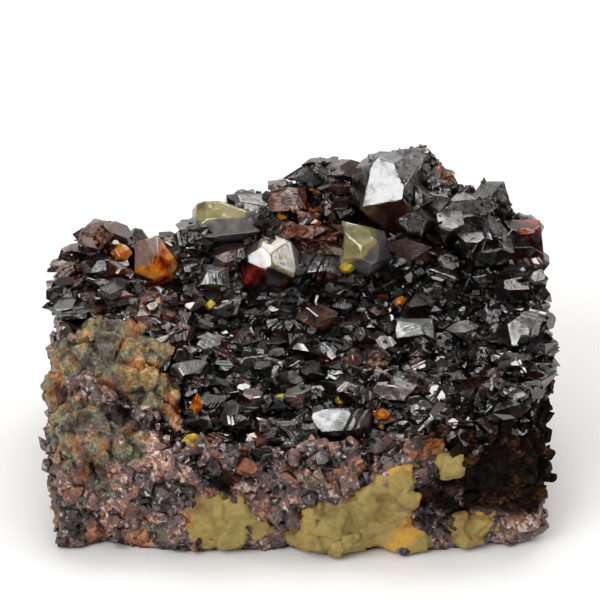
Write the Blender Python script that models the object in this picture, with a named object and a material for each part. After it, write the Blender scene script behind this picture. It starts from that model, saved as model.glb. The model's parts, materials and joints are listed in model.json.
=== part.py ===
"""Sphalerite specimen: a lump of ore matrix with a crust of dark sphalerite crystals over its top.

The lump rests on a flat cut base at Z = 0. X runs along its length, the photographed side faces -Y,
and +Z is up. A low basin of small crystals lies behind the front rim, a wall of larger ones climbs to
the crest at the back, and the largest grow together there as a crown. The front left shoulder is bare rock.
"""

import math
import random

import bmesh
import bpy
from mathutils import Euler, Vector, noise

MM = 0.001

# Driving dimensions of the lump, in metres
HALF_LENGTH = 35.2 * MM
HALF_DEPTH = 28.6 * MM
FRONT_SQUARENESS = 5.0
BACK_SQUARENESS = 2.6
OUTLINE_WANDER = 0.03
WALL_BULGE = 0.035
FOOT_INSET = 0.025
WALL_RINGS = 5
MATRIX_CELLS = (21, 16)
CRUST_CELLS = (12, 9)
CHUNK_SIZE = 6.0 * MM
CHUNK_RELIEF = 3.2 * MM
GRAIN_SIZE = 4.0 * MM
GRAIN_RELIEF = 1.4 * MM

# The ground that the crystals grow on: (x, value) pairs along the length, in millimetres
RIM_HEIGHT = ((-40, 17), (-28, 18), (-15, 17), (-7, 17.5), (6, 16), (18, 17.5), (24, 20), (34, 24), (40, 25))
FLOOR_HEIGHT = (
    (-40, 28.5), (-28, 29), (-22, 27), (-17, 22.5), (-11, 19.5), (0, 19),
    (12, 19), (22, 19.5), (30, 22.5), (36, 25.5), (40, 26.5),
)
CREST_HEIGHT = (
    (-40, 31), (-30, 33.5), (-24, 32.5), (-20.5, 30), (-15, 33.5), (-6, 36.5),
    (3, 39), (10, 38), (18, 38.5), (25, 36), (32, 33.5), (40, 31),
)
CREST_DEPTH = (
    (-40, 5), (-30, 6), (-24, 7), (-20.5, 10), (-15, 11), (-6, 13),
    (3, 14), (10, 13), (18, 12), (25, 12), (32, 11), (40, 9),
)
RIM_DEPTH = -29.0 * MM
FLOOR_DEPTH = -11.0 * MM
WALL_FOOT_DEPTH = -3.0 * MM
BACK_SLOPE = 0.9
BACK_STEEPENING = 0.03 / MM

# The crust of crystals and the clearances that keep the solids apart
CRUST_THICKNESS = 3.2 * MM
RIM_CRUST_THICKNESS = 2.0 * MM
CRUST_BEHIND_CREST = 5.5 * MM
SLAB_HALF_WIDTH = 41.0 * MM
SLAB_FRONT = -25.4 * MM
SLAB_HEIGHT = 40.0 * MM
CLEARANCE = 0.35 * MM
CRUST_SPACING = 0.86
CRUST_TRIES = 30000
CRUST_SEED = 11

# The bare shoulder at the front left, an oval column through the lump
SHOULDER_CENTRE = (-28.5 * MM, -22.0 * MM)
SHOULDER_RADII = (12.5 * MM, 12.0 * MM)

# Families of crystal faces in the cubic system, as unit directions
CUBE = [Vector(d) for d in ((1, 0, 0), (-1, 0, 0), (0, 1, 0), (0, -1, 0), (0, 0, 1), (0, 0, -1))]
TETRAHEDRON = [Vector(d).normalized() for d in ((1, 1, 1), (1, -1, -1), (-1, 1, -1), (-1, -1, 1))]
COUNTER_TETRAHEDRON = [-d for d in TETRAHEDRON]
DODECAHEDRON = [
    (a + b).normalized() for i, a in enumerate(CUBE) for b in CUBE[i + 1 :] if abs(a.dot(b)) < 0.5
]

# Which families shape each habit, and how far out each lies in a crystal of radius 1
HABITS = {
    "tetrahedral": ((TETRAHEDRON, 0.52), (COUNTER_TETRAHEDRON, 0.80)),
    "dodecahedral": ((DODECAHEDRON, 0.82),),
    "blocky": ((CUBE, 0.70), (TETRAHEDRON, 0.80)),
    "twinned": ((TETRAHEDRON, 0.58), (COUNTER_TETRAHEDRON, 0.64)),
}
COMMON_HABITS = ("tetrahedral", "tetrahedral", "dodecahedral", "blocky", "twinned")

# Large single crystals: centre, radius, stretch along x, y and z, habit, and turn in degrees
SINGLE_CRYSTALS = {
    "amber_crystal": ((-21.8, 3.4, 30.6), 3.9, (0.95, 0.9, 0.98), "dodecahedral", (20, 15, 30)),
    "red_brown_crystal": ((-4.5, 5.0, 29.6), 4.7, (0.95, 0.85, 0.95), "dodecahedral", (42, -12, 8)),
    "olive_crystal_left": ((-10.8, 9.6, 34.6), 5.0, (1.22, 0.8, 0.66), "blocky", (15, -12, 10)),
    "olive_crystal_right": ((10.0, 5.6, 31.6), 4.0, (0.95, 0.8, 0.95), "dodecahedral", (10, 30, 50)),
    "grey_rim_crystal": ((6.4, -22.6, 18.2), 4.6, (1.0, 0.62, 0.46), "blocky", (6, -8, 12)),
    "pale_edge_crystal": ((32.0, -10.4, 25.2), 3.2, (0.75, 0.75, 1.05), "tetrahedral", (20, 35, 10)),
}

# The crown: crystals grown together at the crest, in the same terms
CROWN_CRYSTALS = (
    ((17.0, 12.8, 41.6), 4.6, (1.0, 0.9, 0.85), "dodecahedral", (25, 10, 40)),
    ((20.4, 10.6, 40.2), 4.0, (1.0, 0.8, 0.85), "tetrahedral", (200, 20, 70)),
    ((20.9, 8.0, 38.6), 3.2, (0.95, 0.8, 0.9), "twinned", (60, 35, 10)),
    ((17.6, 8.2, 38.8), 3.9, (1.0, 0.75, 0.8), "blocky", (35, 20, 60)),
    ((17.8, 6.6, 36.4), 3.6, (1.0, 0.8, 0.85), "tetrahedral", (15, 40, 100)),
    ((25.2, 8.4, 38.0), 4.4, (1.15, 0.7, 0.55), "blocky", (-8, 32, -8)),
    ((25.0, 7.0, 35.8), 4.2, (1.15, 0.7, 0.5), "blocky", (-20, 30, -6)),
    ((28.8, 9.4, 37.0), 4.3, (0.85, 0.8, 1.0), "dodecahedral", (10, 25, 15)),
    ((22.6, 5.6, 35.4), 3.6, (0.8, 0.7, 1.05), "tetrahedral", (160, 30, 20)),
    ((29.0, 5.0, 32.8), 3.9, (0.85, 0.8, 1.05), "blocky", (30, 25, 20)),
    ((25.8, 4.8, 32.6), 3.2, (0.8, 0.9, 1.1), "blocky", (12, -10, 35)),
)
# The great crystal of the crown has its main faces set by hand: azimuth from +X, elevation, distance
GREAT_CRYSTAL_CENTRE = Vector((13.2, 10.0, 39.4)) * MM
GREAT_CRYSTAL_RADIUS = 6.3 * MM
GREAT_CRYSTAL_FACES = (
    (252, 34, 0.64), (186, 10, 0.62), (268, -16, 0.60), (322, 10, 0.66), (20, 40, 0.74),
    (90, 50, 0.80), (120, 0, 0.85), (40, -30, 0.80), (205, -45, 0.80), (290, 74, 0.80),
)

# Pale yellow gangue masses that show in the front wall: centre, radius, stretch, turn
GANGUE_MASSES = (
    ((9.0, -26.6, 6.6), 9.5, (1.12, 0.46, 0.56), (8, -24, 6)),
    ((17.6, -27.6, 13.6), 4.0, (0.90, 0.55, 1.05), (20, 25, 15)),
    ((-10.6, -26.8, 4.4), 6.6, (1.05, 0.50, 0.62), (12, 6, 10)),
    ((25.0, -26.0, 3.2), 5.0, (1.05, 0.60, 0.62), (8, -8, 30)),
    ((31.0, -22.4, 3.4), 4.2, (0.95, 0.70, 0.70), (10, 12, 50)),
    ((-31.5, -22.2, 2.6), 4.6, (1.0, 0.80, 0.60), (8, 10, 40)),
)

# Angular lumps of rock fused to the walls and the bare shoulder
ROCK_LUMPS = 58
ROCK_TRIES = 4000
ROCK_SPACING = 0.74
ROCK_RADIUS = (2.0 * MM, 4.6 * MM)
ROCK_SUNK = 0.55
ROCK_SEED = 7

# Viewport materials: base colour, roughness, metallic
FINISHES = {
    "matrix": ((0.10, 0.075, 0.058), 0.85, 0.0),
    "crystal_crust": ((0.020, 0.016, 0.014), 0.18, 0.0),
    "crown_cluster": ((0.022, 0.018, 0.017), 0.12, 0.0),
    "amber_crystal": ((0.48, 0.17, 0.03), 0.12, 0.0),
    "red_brown_crystal": ((0.13, 0.018, 0.010), 0.12, 0.0),
    "olive_crystal_left": ((0.24, 0.19, 0.07), 0.18, 0.0),
    "olive_crystal_right": ((0.20, 0.17, 0.07), 0.18, 0.0),
    "grey_rim_crystal": ((0.05, 0.045, 0.042), 0.14, 0.0),
    "pale_edge_crystal": ((0.11, 0.09, 0.085), 0.18, 0.0),
}


def smooth(low, high, value):
    """0 below low, 1 above high, and a smooth ramp between."""
    share = min(max((value - low) / (high - low), 0.0), 1.0)
    return share * share * (3 - 2 * share)


def along(points, x):
    """The value at x, in metres, of a smooth line through (x, value) pairs in millimetres."""
    for (x0, low), (x1, high) in zip(points, points[1:]):
        if x <= x1 * MM:
            return (low + (high - low) * smooth(x0 * MM, x1 * MM, x)) * MM
    return points[-1][1] * MM


def ground(x, y):
    """Height of the surface that the crystals grow on."""
    front = smooth(RIM_DEPTH, FLOOR_DEPTH, y)
    height = along(RIM_HEIGHT, x) * (1 - front) + along(FLOOR_HEIGHT, x) * front
    crest_depth = along(CREST_DEPTH, x)
    rise = smooth(WALL_FOOT_DEPTH, crest_depth, y)
    height = height * (1 - rise) + along(CREST_HEIGHT, x) * rise
    past = max(y - crest_depth, 0.0)
    unevenness = noise.noise(Vector((x, y, 0.0)) / (8 * MM)) * 0.9 * MM
    return height - BACK_SLOPE * past - BACK_STEEPENING * past * past + unevenness


def outline(angle):
    """Distance from the middle of the lump to its edge, seen from above, in this direction."""
    power = FRONT_SQUARENESS if math.sin(angle) < 0 else BACK_SQUARENESS
    across = abs(math.cos(angle) / HALF_LENGTH) ** power
    deep = abs(math.sin(angle) / HALF_DEPTH) ** power
    wander = noise.noise(Vector((math.cos(angle), math.sin(angle), 0.3)) * 2.6)
    return (across + deep) ** (-1 / power) * (1 + OUTLINE_WANDER * wander)


def plan_point(u, v):
    """Maps a square from -1 to 1 onto the lump's plan, edge to edge."""
    reach = max(abs(u), abs(v))
    angle = math.atan2(v * HALF_DEPTH, u * HALF_LENGTH)
    distance = reach * outline(angle)
    return distance * math.cos(angle), distance * math.sin(angle)


def rock_relief(point):
    """Outward offset that breaks the rock into chunks with finer grain on them."""
    _, centres = noise.voronoi(point / CHUNK_SIZE)
    chunk = noise.cell(centres[0] * 37.0) / 2
    grain = noise.fractal(point / GRAIN_SIZE, 0.8, 2.1, 3)
    return CHUNK_RELIEF * chunk + GRAIN_RELIEF * grain


def finish(name):
    """The viewport material of a node."""
    colour, roughness, metallic = FINISHES[name]
    material = bpy.data.materials.new(name)
    material.use_nodes = True
    shader = material.node_tree.nodes["Principled BSDF"]
    shader.inputs["Base Color"].default_value = (*colour, 1.0)
    shader.inputs["Roughness"].default_value = roughness
    shader.inputs["Metallic"].default_value = metallic
    return material


def object_from(form, name, collection, parent):
    """Turns a bmesh into an object of its own."""
    mesh = bpy.data.meshes.new(name)
    form.to_mesh(mesh)
    form.free()
    made = bpy.data.objects.new(name, mesh)
    made.parent = parent
    collection.objects.link(made)
    return made


def combine(target, operation, other, solver="EXACT"):
    """Adds a Boolean modifier with an object or with every object of a collection."""
    modifier = target.modifiers.new(operation.lower(), "BOOLEAN")
    modifier.operation = operation
    modifier.solver = solver
    if isinstance(other, bpy.types.Collection):
        modifier.operand_type = "COLLECTION"
        modifier.collection = other
    else:
        modifier.object = other


def polyhedron(faces, start=4.0):
    """A convex solid of radius about 1: a cube sliced flat at each (direction, distance)."""
    form = bmesh.new()
    bmesh.ops.create_cube(form, size=start)
    for direction, distance in faces:
        geometry = form.verts[:] + form.edges[:] + form.faces[:]
        cut = bmesh.ops.bisect_plane(
            form,
            geom=geometry,
            dist=1e-5,
            plane_co=direction * distance,
            plane_no=direction,
            clear_outer=True,
        )
        edge = [part for part in cut["geom_cut"] if isinstance(part, bmesh.types.BMEdge)]
        if len(edge) > 2:
            bmesh.ops.contextual_create(form, geom=edge)
    bmesh.ops.remove_doubles(form, verts=form.verts[:], dist=0.04)
    bmesh.ops.triangulate(form, faces=form.faces[:], quad_method="FIXED", ngon_method="EAR_CLIP")
    bmesh.ops.recalc_face_normals(form, faces=form.faces[:])
    return form


def habit_faces(habit, chance, wobble):
    """The faces of one grown crystal: no two grow at quite the same rate or angle."""
    faces = []
    for family, distance in HABITS[habit]:
        for direction in family:
            tilt = Vector([chance.uniform(-1, 1) for _ in range(3)]) * wobble
            reach = distance * chance.uniform(1 - 2 * wobble, 1 + wobble)
            faces.append(((direction + tilt).normalized(), reach))
    return faces


def place(form, centre, radius, stretch, turn):
    """Turns, stretches and moves a unit crystal into position."""
    rotation = Euler([math.radians(angle) for angle in turn]).to_matrix()
    bmesh.ops.transform(form, matrix=rotation, verts=form.verts[:])
    bmesh.ops.scale(form, vec=Vector(stretch) * radius, verts=form.verts[:])
    bmesh.ops.translate(form, vec=centre, verts=form.verts[:])
    return form


def grown_crystal(centre, radius, stretch, habit, turn, seed, clearance=0.0):
    """A crystal of this habit. With a clearance it is the socket that the crystal sits in."""
    form = polyhedron(habit_faces(habit, random.Random(seed), 0.05))
    return place(form, Vector(centre) * MM, radius * MM + clearance, stretch, turn)


def socket_growth(shape):
    """How much larger a socket's radius is, so that its nearest faces still keep the clearance."""
    stretch = shape[2]
    return CLEARANCE / min(stretch) / 0.45


def great_crystal(clearance=0.0):
    """The largest crystal of the crown, with the faces that catch the light set by hand."""
    faces = []
    for azimuth, elevation, distance in GREAT_CRYSTAL_FACES:
        a, e = math.radians(azimuth), math.radians(elevation)
        faces.append((Vector((math.cos(a) * math.cos(e), math.sin(a) * math.cos(e), math.sin(e))), distance))
    radius = GREAT_CRYSTAL_RADIUS + clearance
    return place(polyhedron(faces), GREAT_CRYSTAL_CENTRE, radius, (0.9, 0.9, 1.0), (0, 0, 0))


def lump_form(cells, relief):
    """The whole rock: a grid shaped to the ground, its edge extruded down as the wall, and a flat base."""
    form = bmesh.new()
    bmesh.ops.create_grid(form, x_segments=cells[0], y_segments=cells[1], size=1)
    edge_place = form.verts.layers.float_vector.new("edge_place")
    for vert in form.verts:
        x, y = plan_point(vert.co.x, vert.co.y)
        vert.co = (x, y, ground(x, y))
        vert[edge_place] = vert.co.copy()
    ring = [edge for edge in form.edges if edge.is_boundary]
    for step in range(1, WALL_RINGS + 1):
        share = 1 - step / WALL_RINGS
        made = bmesh.ops.extrude_edge_only(form, edges=ring)["geom"]
        ring = [part for part in made if isinstance(part, bmesh.types.BMEdge)]
        for vert in (part for part in made if isinstance(part, bmesh.types.BMVert)):
            x, y, top = vert[edge_place]
            spread = 1 + WALL_BULGE * math.sin(math.pi * share) - FOOT_INSET * (1 - share)
            vert.co = (x * spread, y * spread, top * share)
    bmesh.ops.contextual_create(form, geom=ring)
    bmesh.ops.recalc_face_normals(form, faces=form.faces[:])
    form.normal_update()
    moved = {}
    for vert in form.verts:
        normal = Vector((vert.normal.x, vert.normal.y, vert.normal.z if vert.co.z > 0 else 0.0))
        lift = relief * rock_relief(vert.co) * (1.0 if vert.co.z > 0 else 0.5)
        moved[vert] = vert.co + normal * lift
    for vert, place_now in moved.items():
        vert.co = place_now
    return form


def crust_slab(grown):
    """The room that the crust fills: a slab along the ground, from the rim past the crest, grown by this."""
    form = bmesh.new()
    bmesh.ops.create_grid(form, x_segments=13, y_segments=9, size=1)
    for vert in form.verts:
        back_edge = vert.co.y > 0.999
        front_edge = vert.co.y < -0.999
        x = SLAB_HALF_WIDTH * vert.co.x
        wander = noise.noise(Vector((x / (5 * MM), 0.0, 4.0))) * 2 * MM
        back = along(CREST_DEPTH, x) + CRUST_BEHIND_CREST + wander
        y = SLAB_FRONT + (back - SLAB_FRONT) * (vert.co.y + 1) / 2 + grown * (back_edge - front_edge)
        inward = smooth(-28 * MM, -18 * MM, y)
        thickness = RIM_CRUST_THICKNESS + (CRUST_THICKNESS - RIM_CRUST_THICKNESS) * inward
        vert.co = (x, y, ground(x, y) - thickness - 1.4 * grown)
    bmesh.ops.triangulate(form, faces=form.faces[:], quad_method="FIXED")
    made = bmesh.ops.extrude_face_region(form, geom=form.faces[:])["geom"]
    raised = [part for part in made if isinstance(part, bmesh.types.BMVert)]
    bmesh.ops.translate(form, vec=(0, 0, SLAB_HEIGHT), verts=raised)
    bmesh.ops.recalc_face_normals(form, faces=form.faces[:])
    return form


def shoulder_column(shrink):
    """The oval column of bare rock at the front left, where no crystals grow."""
    form = bmesh.new()
    bmesh.ops.create_cone(form, cap_ends=True, segments=16, radius1=1, radius2=1, depth=90 * MM)
    for vert in form.verts:
        wander = 1 + 0.08 * noise.noise(Vector((vert.co.x, vert.co.y, 0.0)) * 2.2)
        vert.co.x = SHOULDER_CENTRE[0] + vert.co.x * (SHOULDER_RADII[0] * wander - shrink)
        vert.co.y = SHOULDER_CENTRE[1] + vert.co.y * (SHOULDER_RADII[1] * wander - shrink)
    return form


def in_shoulder(x, y, margin):
    """Whether a point lies in the bare shoulder or within a margin of it."""
    across = (x - SHOULDER_CENTRE[0]) / (SHOULDER_RADII[0] + margin)
    deep = (y - SHOULDER_CENTRE[1]) / (SHOULDER_RADII[1] + margin)
    return across * across + deep * deep < 1


def crystal_size(x, y):
    """Typical radius of the crust's crystals here: small in the basin, larger up the wall and on the rim."""
    climb = smooth(-4 * MM, 10 * MM, y)
    left = 1 - smooth(-22 * MM, -14 * MM, x)
    rim = 1 - smooth(-26 * MM, -18 * MM, y)
    right = smooth(26 * MM, 34 * MM, x)
    return (2.2 + 0.9 * climb + 0.4 * left + 0.3 * rim + 0.4 * right) * MM


def crust_places():
    """Where the crust's crystals sit: scattered at random, and none too close to another or a large one."""
    chance = random.Random(CRUST_SEED)
    large = [(GREAT_CRYSTAL_CENTRE, GREAT_CRYSTAL_RADIUS)]
    for place_of, reach, *_ in (*SINGLE_CRYSTALS.values(), *CROWN_CRYSTALS):
        large.append((Vector(place_of) * MM, reach * MM))
    placed = []
    for _ in range(CRUST_TRIES):
        x = chance.uniform(-HALF_LENGTH, HALF_LENGTH)
        y = chance.uniform(-HALF_DEPTH, HALF_DEPTH)
        radius = crystal_size(x, y) * chance.uniform(0.72, 1.35)
        if math.hypot(x, y) > outline(math.atan2(y, x)) - 0.2 * radius:
            continue
        if y < SLAB_FRONT + 0.75 * radius or y > along(CREST_DEPTH, x) + CRUST_BEHIND_CREST - radius:
            continue
        if in_shoulder(x, y, 0.3 * radius):
            continue
        centre = Vector((x, y, ground(x, y) + chance.uniform(-0.25, 0.3) * radius))
        if any((centre - other).length < CRUST_SPACING * (radius + reach) for other, reach in placed):
            continue
        if any((centre - other).length < 0.85 * reach + 0.45 * radius for other, reach in large):
            continue
        placed.append((centre, radius))
    return placed


def build():
    """Makes every solid and centres the specimen on the origin."""
    for old in list(bpy.data.objects):
        bpy.data.objects.remove(old)
    scene = bpy.context.scene.collection
    specimen = bpy.data.collections.new("sphalerite_specimen")
    helpers = bpy.data.collections.new("cutters")
    sockets = bpy.data.collections.new("sockets")
    seeds = bpy.data.collections.new("crust_crystals")
    crown_pieces = bpy.data.collections.new("crown_pieces")
    masses = bpy.data.collections.new("rock_masses")
    scene.children.link(specimen)
    scene.children.link(helpers)
    for group in (sockets, seeds, crown_pieces, masses):
        helpers.children.link(group)
    origin = bpy.data.objects.new("specimen_origin", None)
    specimen.objects.link(origin)

    for seed, (name, shape) in enumerate(SINGLE_CRYSTALS.items()):
        object_from(grown_crystal(*shape, seed), name, specimen, origin)
        object_from(grown_crystal(*shape, seed, socket_growth(shape)), "socket_" + name, sockets, origin)

    crown = object_from(great_crystal(), "crown_cluster", specimen, origin)
    object_from(great_crystal(CLEARANCE / 0.6), "socket_great_crystal", sockets, origin)
    for seed, shape in enumerate(CROWN_CRYSTALS, 100):
        object_from(grown_crystal(*shape, seed), f"crown_{seed}", crown_pieces, origin)
        socket = grown_crystal(*shape, seed, socket_growth(shape))
        object_from(socket, f"socket_crown_{seed}", sockets, origin)
    combine(crown, "UNION", crown_pieces, "MANIFOLD")

    shoulder = object_from(shoulder_column(0.0), "shoulder_cutter", helpers, origin)
    shoulder_core = object_from(shoulder_column(CLEARANCE), "shoulder_core_cutter", helpers, origin)
    room = object_from(crust_slab(0.0), "crust_room", helpers, origin)
    combine(room, "DIFFERENCE", shoulder)
    recess = object_from(crust_slab(CLEARANCE), "crust_recess", helpers, origin)
    combine(recess, "DIFFERENCE", shoulder_core)

    crust = object_from(lump_form(CRUST_CELLS, 0.5), "crystal_crust", specimen, origin)
    chance = random.Random(CRUST_SEED + 1)
    for number, (centre, radius) in enumerate(crust_places()):
        form = polyhedron(habit_faces(chance.choice(COMMON_HABITS), chance, 0.06))
        stretch = [chance.uniform(0.8, 1.2) for _ in range(3)]
        turn = [chance.uniform(0, 360) for _ in range(3)]
        object_from(place(form, centre, radius, stretch, turn), f"seed_{number}", seeds, origin)
    combine(crust, "UNION", seeds, "MANIFOLD")
    combine(crust, "INTERSECT", room, "MANIFOLD")
    combine(crust, "DIFFERENCE", sockets, "MANIFOLD")

    bpy.context.view_layer.update()
    keep_outer_shell(crust)

    matrix = object_from(lump_form(MATRIX_CELLS, 1.0), "matrix", specimen, origin)
    for number, (centre, radius, stretch, turn) in enumerate(GANGUE_MASSES):
        mass = grown_crystal(centre, radius, stretch, "blocky", turn, 300 + number)
        object_from(mass, f"gangue_{number}", masses, origin)
    chance = random.Random(ROCK_SEED + 1)
    for number, (centre, radius) in enumerate(rock_places()):
        form = polyhedron(habit_faces("blocky", chance, 0.1))
        stretch = [chance.uniform(0.75, 1.15) for _ in range(3)]
        turn = [chance.uniform(0, 360) for _ in range(3)]
        object_from(place(form, centre, radius, stretch, turn), f"rock_{number}", masses, origin)
    combine(matrix, "UNION", masses, "MANIFOLD")
    combine(matrix, "DIFFERENCE", recess, "MANIFOLD")
    combine(matrix, "DIFFERENCE", sockets, "MANIFOLD")
    ground_cutter = bmesh.new()
    bmesh.ops.create_cube(ground_cutter, size=200 * MM)
    bmesh.ops.translate(ground_cutter, vec=(0, 0, -100 * MM), verts=ground_cutter.verts[:])
    combine(matrix, "DIFFERENCE", object_from(ground_cutter, "base_cutter", helpers, origin), "MANIFOLD")

    for helper in helpers.all_objects:
        helper.hide_render = True
        helper.display_type = "WIRE"
    for node in specimen.objects:
        if node.type == "MESH":
            node.data.materials.append(finish(node.name))
    centre_on_base(specimen, origin)


def keep_outer_shell(node):
    """Settles a node's modifiers and removes the small pockets shut in between its crystals."""
    graph = bpy.context.evaluated_depsgraph_get()
    form = bmesh.new()
    form.from_mesh(node.evaluated_get(graph).to_mesh())
    shells = []
    left = set(form.verts)
    while left:
        shell = {left.pop()}
        edge_of_shell = list(shell)
        while edge_of_shell:
            vert = edge_of_shell.pop()
            for edge in vert.link_edges:
                other = edge.other_vert(vert)
                if other in left:
                    left.remove(other)
                    shell.add(other)
                    edge_of_shell.append(other)
        shells.append(shell)
    shells.sort(key=len)
    for shell in shells[:-1]:
        bmesh.ops.delete(form, geom=list(shell), context="VERTS")
    node.modifiers.clear()
    form.to_mesh(node.data)
    form.free()


def rock_places():
    """Where the angular lumps sit: round the walls below the crust, and on the bare shoulder."""
    chance = random.Random(ROCK_SEED)
    placed = []
    for attempt in range(ROCK_TRIES):
        radius = chance.uniform(*ROCK_RADIUS)
        if attempt % 6 == 0:
            x = SHOULDER_CENTRE[0] + chance.uniform(-1, 1) * 0.6 * SHOULDER_RADII[0]
            y = SHOULDER_CENTRE[1] + chance.uniform(-1, 1) * 0.6 * SHOULDER_RADII[1]
            if math.hypot(x, y) > outline(math.atan2(y, x)) - radius:
                continue
            centre = Vector((x, y, ground(x, y) - 0.5 * ROCK_SUNK * radius))
        else:
            angle = chance.uniform(0, math.tau)
            reach = outline(angle) - ROCK_SUNK * radius
            x, y = reach * math.cos(angle), reach * math.sin(angle)
            centre = Vector((x, y, chance.uniform(0.04, 0.96) * (ground(x, y) - CRUST_THICKNESS)))
        if all((centre - other).length > ROCK_SPACING * (radius + size) for other, size in placed):
            placed.append((centre, radius))
        if len(placed) == ROCK_LUMPS:
            break
    return placed


def centre_on_base(specimen, origin):
    """Moves the whole specimen so that the middle of its footprint box is the origin."""
    bpy.context.view_layer.update()
    graph = bpy.context.evaluated_depsgraph_get()
    corners = []
    for node in specimen.objects:
        if node.type == "MESH":
            solid = node.evaluated_get(graph)
            corners += [solid.matrix_world @ Vector(corner) for corner in solid.bound_box]
    middle = [(min(c[axis] for c in corners) + max(c[axis] for c in corners)) / 2 for axis in (0, 1)]
    origin.location = (-middle[0], -middle[1], 0.0)


build()
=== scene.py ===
# %% [markdown]
# # A sphalerite specimen
#
# Sphalerite is zinc sulphide. Where hot, metal-bearing water once ran through an open crack, it lined the rock
# with crystals. This specimen is one such lining: a lump of mixed ore rock whose top is crusted with black,
# mirror-faced crystals, with a few clear amber, red and olive ones where the iron content was low.
#
# The solid model gives the rock, the crust, the crown of large crystals and six single crystals. This lesson
# dresses them: it grows some thousands of small crystals over the crust, breaks the rock into grains, and gives
# each surface its own procedural finish.

import json
import math
import random

import bmesh
import bpy
import numpy as np
from mathutils import Euler, Matrix, Vector, noise
from mathutils.bvhtree import BVHTree

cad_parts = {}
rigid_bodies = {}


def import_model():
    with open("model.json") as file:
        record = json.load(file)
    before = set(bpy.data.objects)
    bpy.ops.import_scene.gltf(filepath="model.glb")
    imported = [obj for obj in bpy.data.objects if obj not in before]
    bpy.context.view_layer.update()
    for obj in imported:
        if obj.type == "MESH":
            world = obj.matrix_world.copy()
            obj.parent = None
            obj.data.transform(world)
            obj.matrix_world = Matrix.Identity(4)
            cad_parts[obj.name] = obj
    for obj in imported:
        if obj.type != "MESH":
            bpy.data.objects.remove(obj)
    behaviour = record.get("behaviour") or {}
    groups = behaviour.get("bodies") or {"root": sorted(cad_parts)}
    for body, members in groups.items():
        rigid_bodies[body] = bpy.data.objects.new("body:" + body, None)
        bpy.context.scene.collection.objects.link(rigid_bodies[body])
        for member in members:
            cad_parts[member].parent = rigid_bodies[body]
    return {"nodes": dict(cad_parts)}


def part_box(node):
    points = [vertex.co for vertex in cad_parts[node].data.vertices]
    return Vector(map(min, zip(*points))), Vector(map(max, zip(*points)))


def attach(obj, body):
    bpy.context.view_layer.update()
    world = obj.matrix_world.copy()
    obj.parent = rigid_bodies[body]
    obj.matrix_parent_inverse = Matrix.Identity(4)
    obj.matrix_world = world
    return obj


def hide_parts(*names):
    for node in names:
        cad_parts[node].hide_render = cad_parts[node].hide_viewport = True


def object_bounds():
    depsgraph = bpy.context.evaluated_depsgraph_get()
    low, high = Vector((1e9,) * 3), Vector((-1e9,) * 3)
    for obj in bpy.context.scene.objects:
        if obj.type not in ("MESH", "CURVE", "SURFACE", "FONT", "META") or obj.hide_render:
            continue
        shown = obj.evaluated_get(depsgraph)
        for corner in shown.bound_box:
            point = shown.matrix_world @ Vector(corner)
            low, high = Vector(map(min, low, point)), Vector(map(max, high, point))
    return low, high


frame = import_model()
CAD_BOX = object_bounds()
MM = 0.001
print("solid model, mm:", [[round(value / MM, 1) for value in corner] for corner in CAD_BOX])

# %% [markdown]
# ## Writing shader graphs
#
# Every finish below is a graph of shader nodes, the same that the Shader Editor shows. A graph of forty nodes
# is hard to read as forty creations and sixty links, so a first helper adds a node and fills its inputs at once,
# with plain values or with the outputs of other nodes. The others stand for the nodes that come back most: an
# arithmetic node, a colour ramp, a mix of two colours or two numbers, cloudy noise, a spread of one range over
# another, and a number that the mesh carries.

# %% Helpers for nodes
def add(tree, kind, inputs=(), **settings):
    """Adds a shader node. An input takes a plain value or another node's output socket."""
    made = tree.nodes.new("ShaderNode" + kind)
    for name, value in settings.items():
        setattr(made, name, value)
    for key, value in dict(inputs).items():
        if isinstance(value, bpy.types.NodeSocket):
            tree.links.new(value, made.inputs[key])
        else:
            made.inputs[key].default_value = value
    return made


def arith(tree, operation, a, b=0.0, clamp=False):
    """One arithmetic node, as its output socket."""
    return add(tree, "Math", {0: a, 1: b}, operation=operation, use_clamp=clamp).outputs[0]


def ramp(tree, factor, stops):
    """A colour ramp through (position, colour) stops, as its colour socket."""
    made = add(tree, "ValToRGB", {"Fac": factor})
    colours = made.color_ramp.elements
    while len(colours) < len(stops):
        colours.new(0.5)
    for element, (position, colour) in zip(colours, stops):
        element.position = position
        element.color = (*colour, 1.0)
    return made.outputs["Color"]


def blend(tree, factor, a, b, mode="MIX"):
    """Mixes two colours, as the result's socket."""
    made = add(tree, "Mix", {0: factor, 6: a, 7: b}, data_type="RGBA", blend_type=mode)
    return made.outputs[2]


def mix(tree, factor, a, b):
    """Mixes two numbers, as the result's socket."""
    return add(tree, "Mix", {0: factor, 2: a, 3: b}, data_type="FLOAT").outputs[0]


def rgb(*colour):
    """A linear colour with its alpha."""
    return (*colour, 1.0)


def clouded(tree, vector, scale, detail=2.0, roughness=0.5, distortion=0.0):
    """Cloudy noise from about 0.3 to 0.7, as its value socket."""
    inputs = {"Vector": vector, "Scale": scale, "Detail": detail, "Roughness": roughness, "Distortion": distortion}
    return add(tree, "TexNoise", inputs).outputs["Fac"]


def spread(tree, value, low=0.0, high=1.0, start=0.0, end=1.0):
    """Spreads a value's range from low to high over start to end, and stops there."""
    inputs = {"Value": value, "From Min": low, "From Max": high, "To Min": start, "To Max": end}
    return add(tree, "MapRange", inputs).outputs[0]


def attribute(tree, name):
    """A number that the mesh carries for each face or point."""
    return add(tree, "Attribute", attribute_name=name).outputs["Fac"]


print("node helpers: add, arith, ramp, blend, mix, rgb, clouded, spread, attribute")
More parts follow.
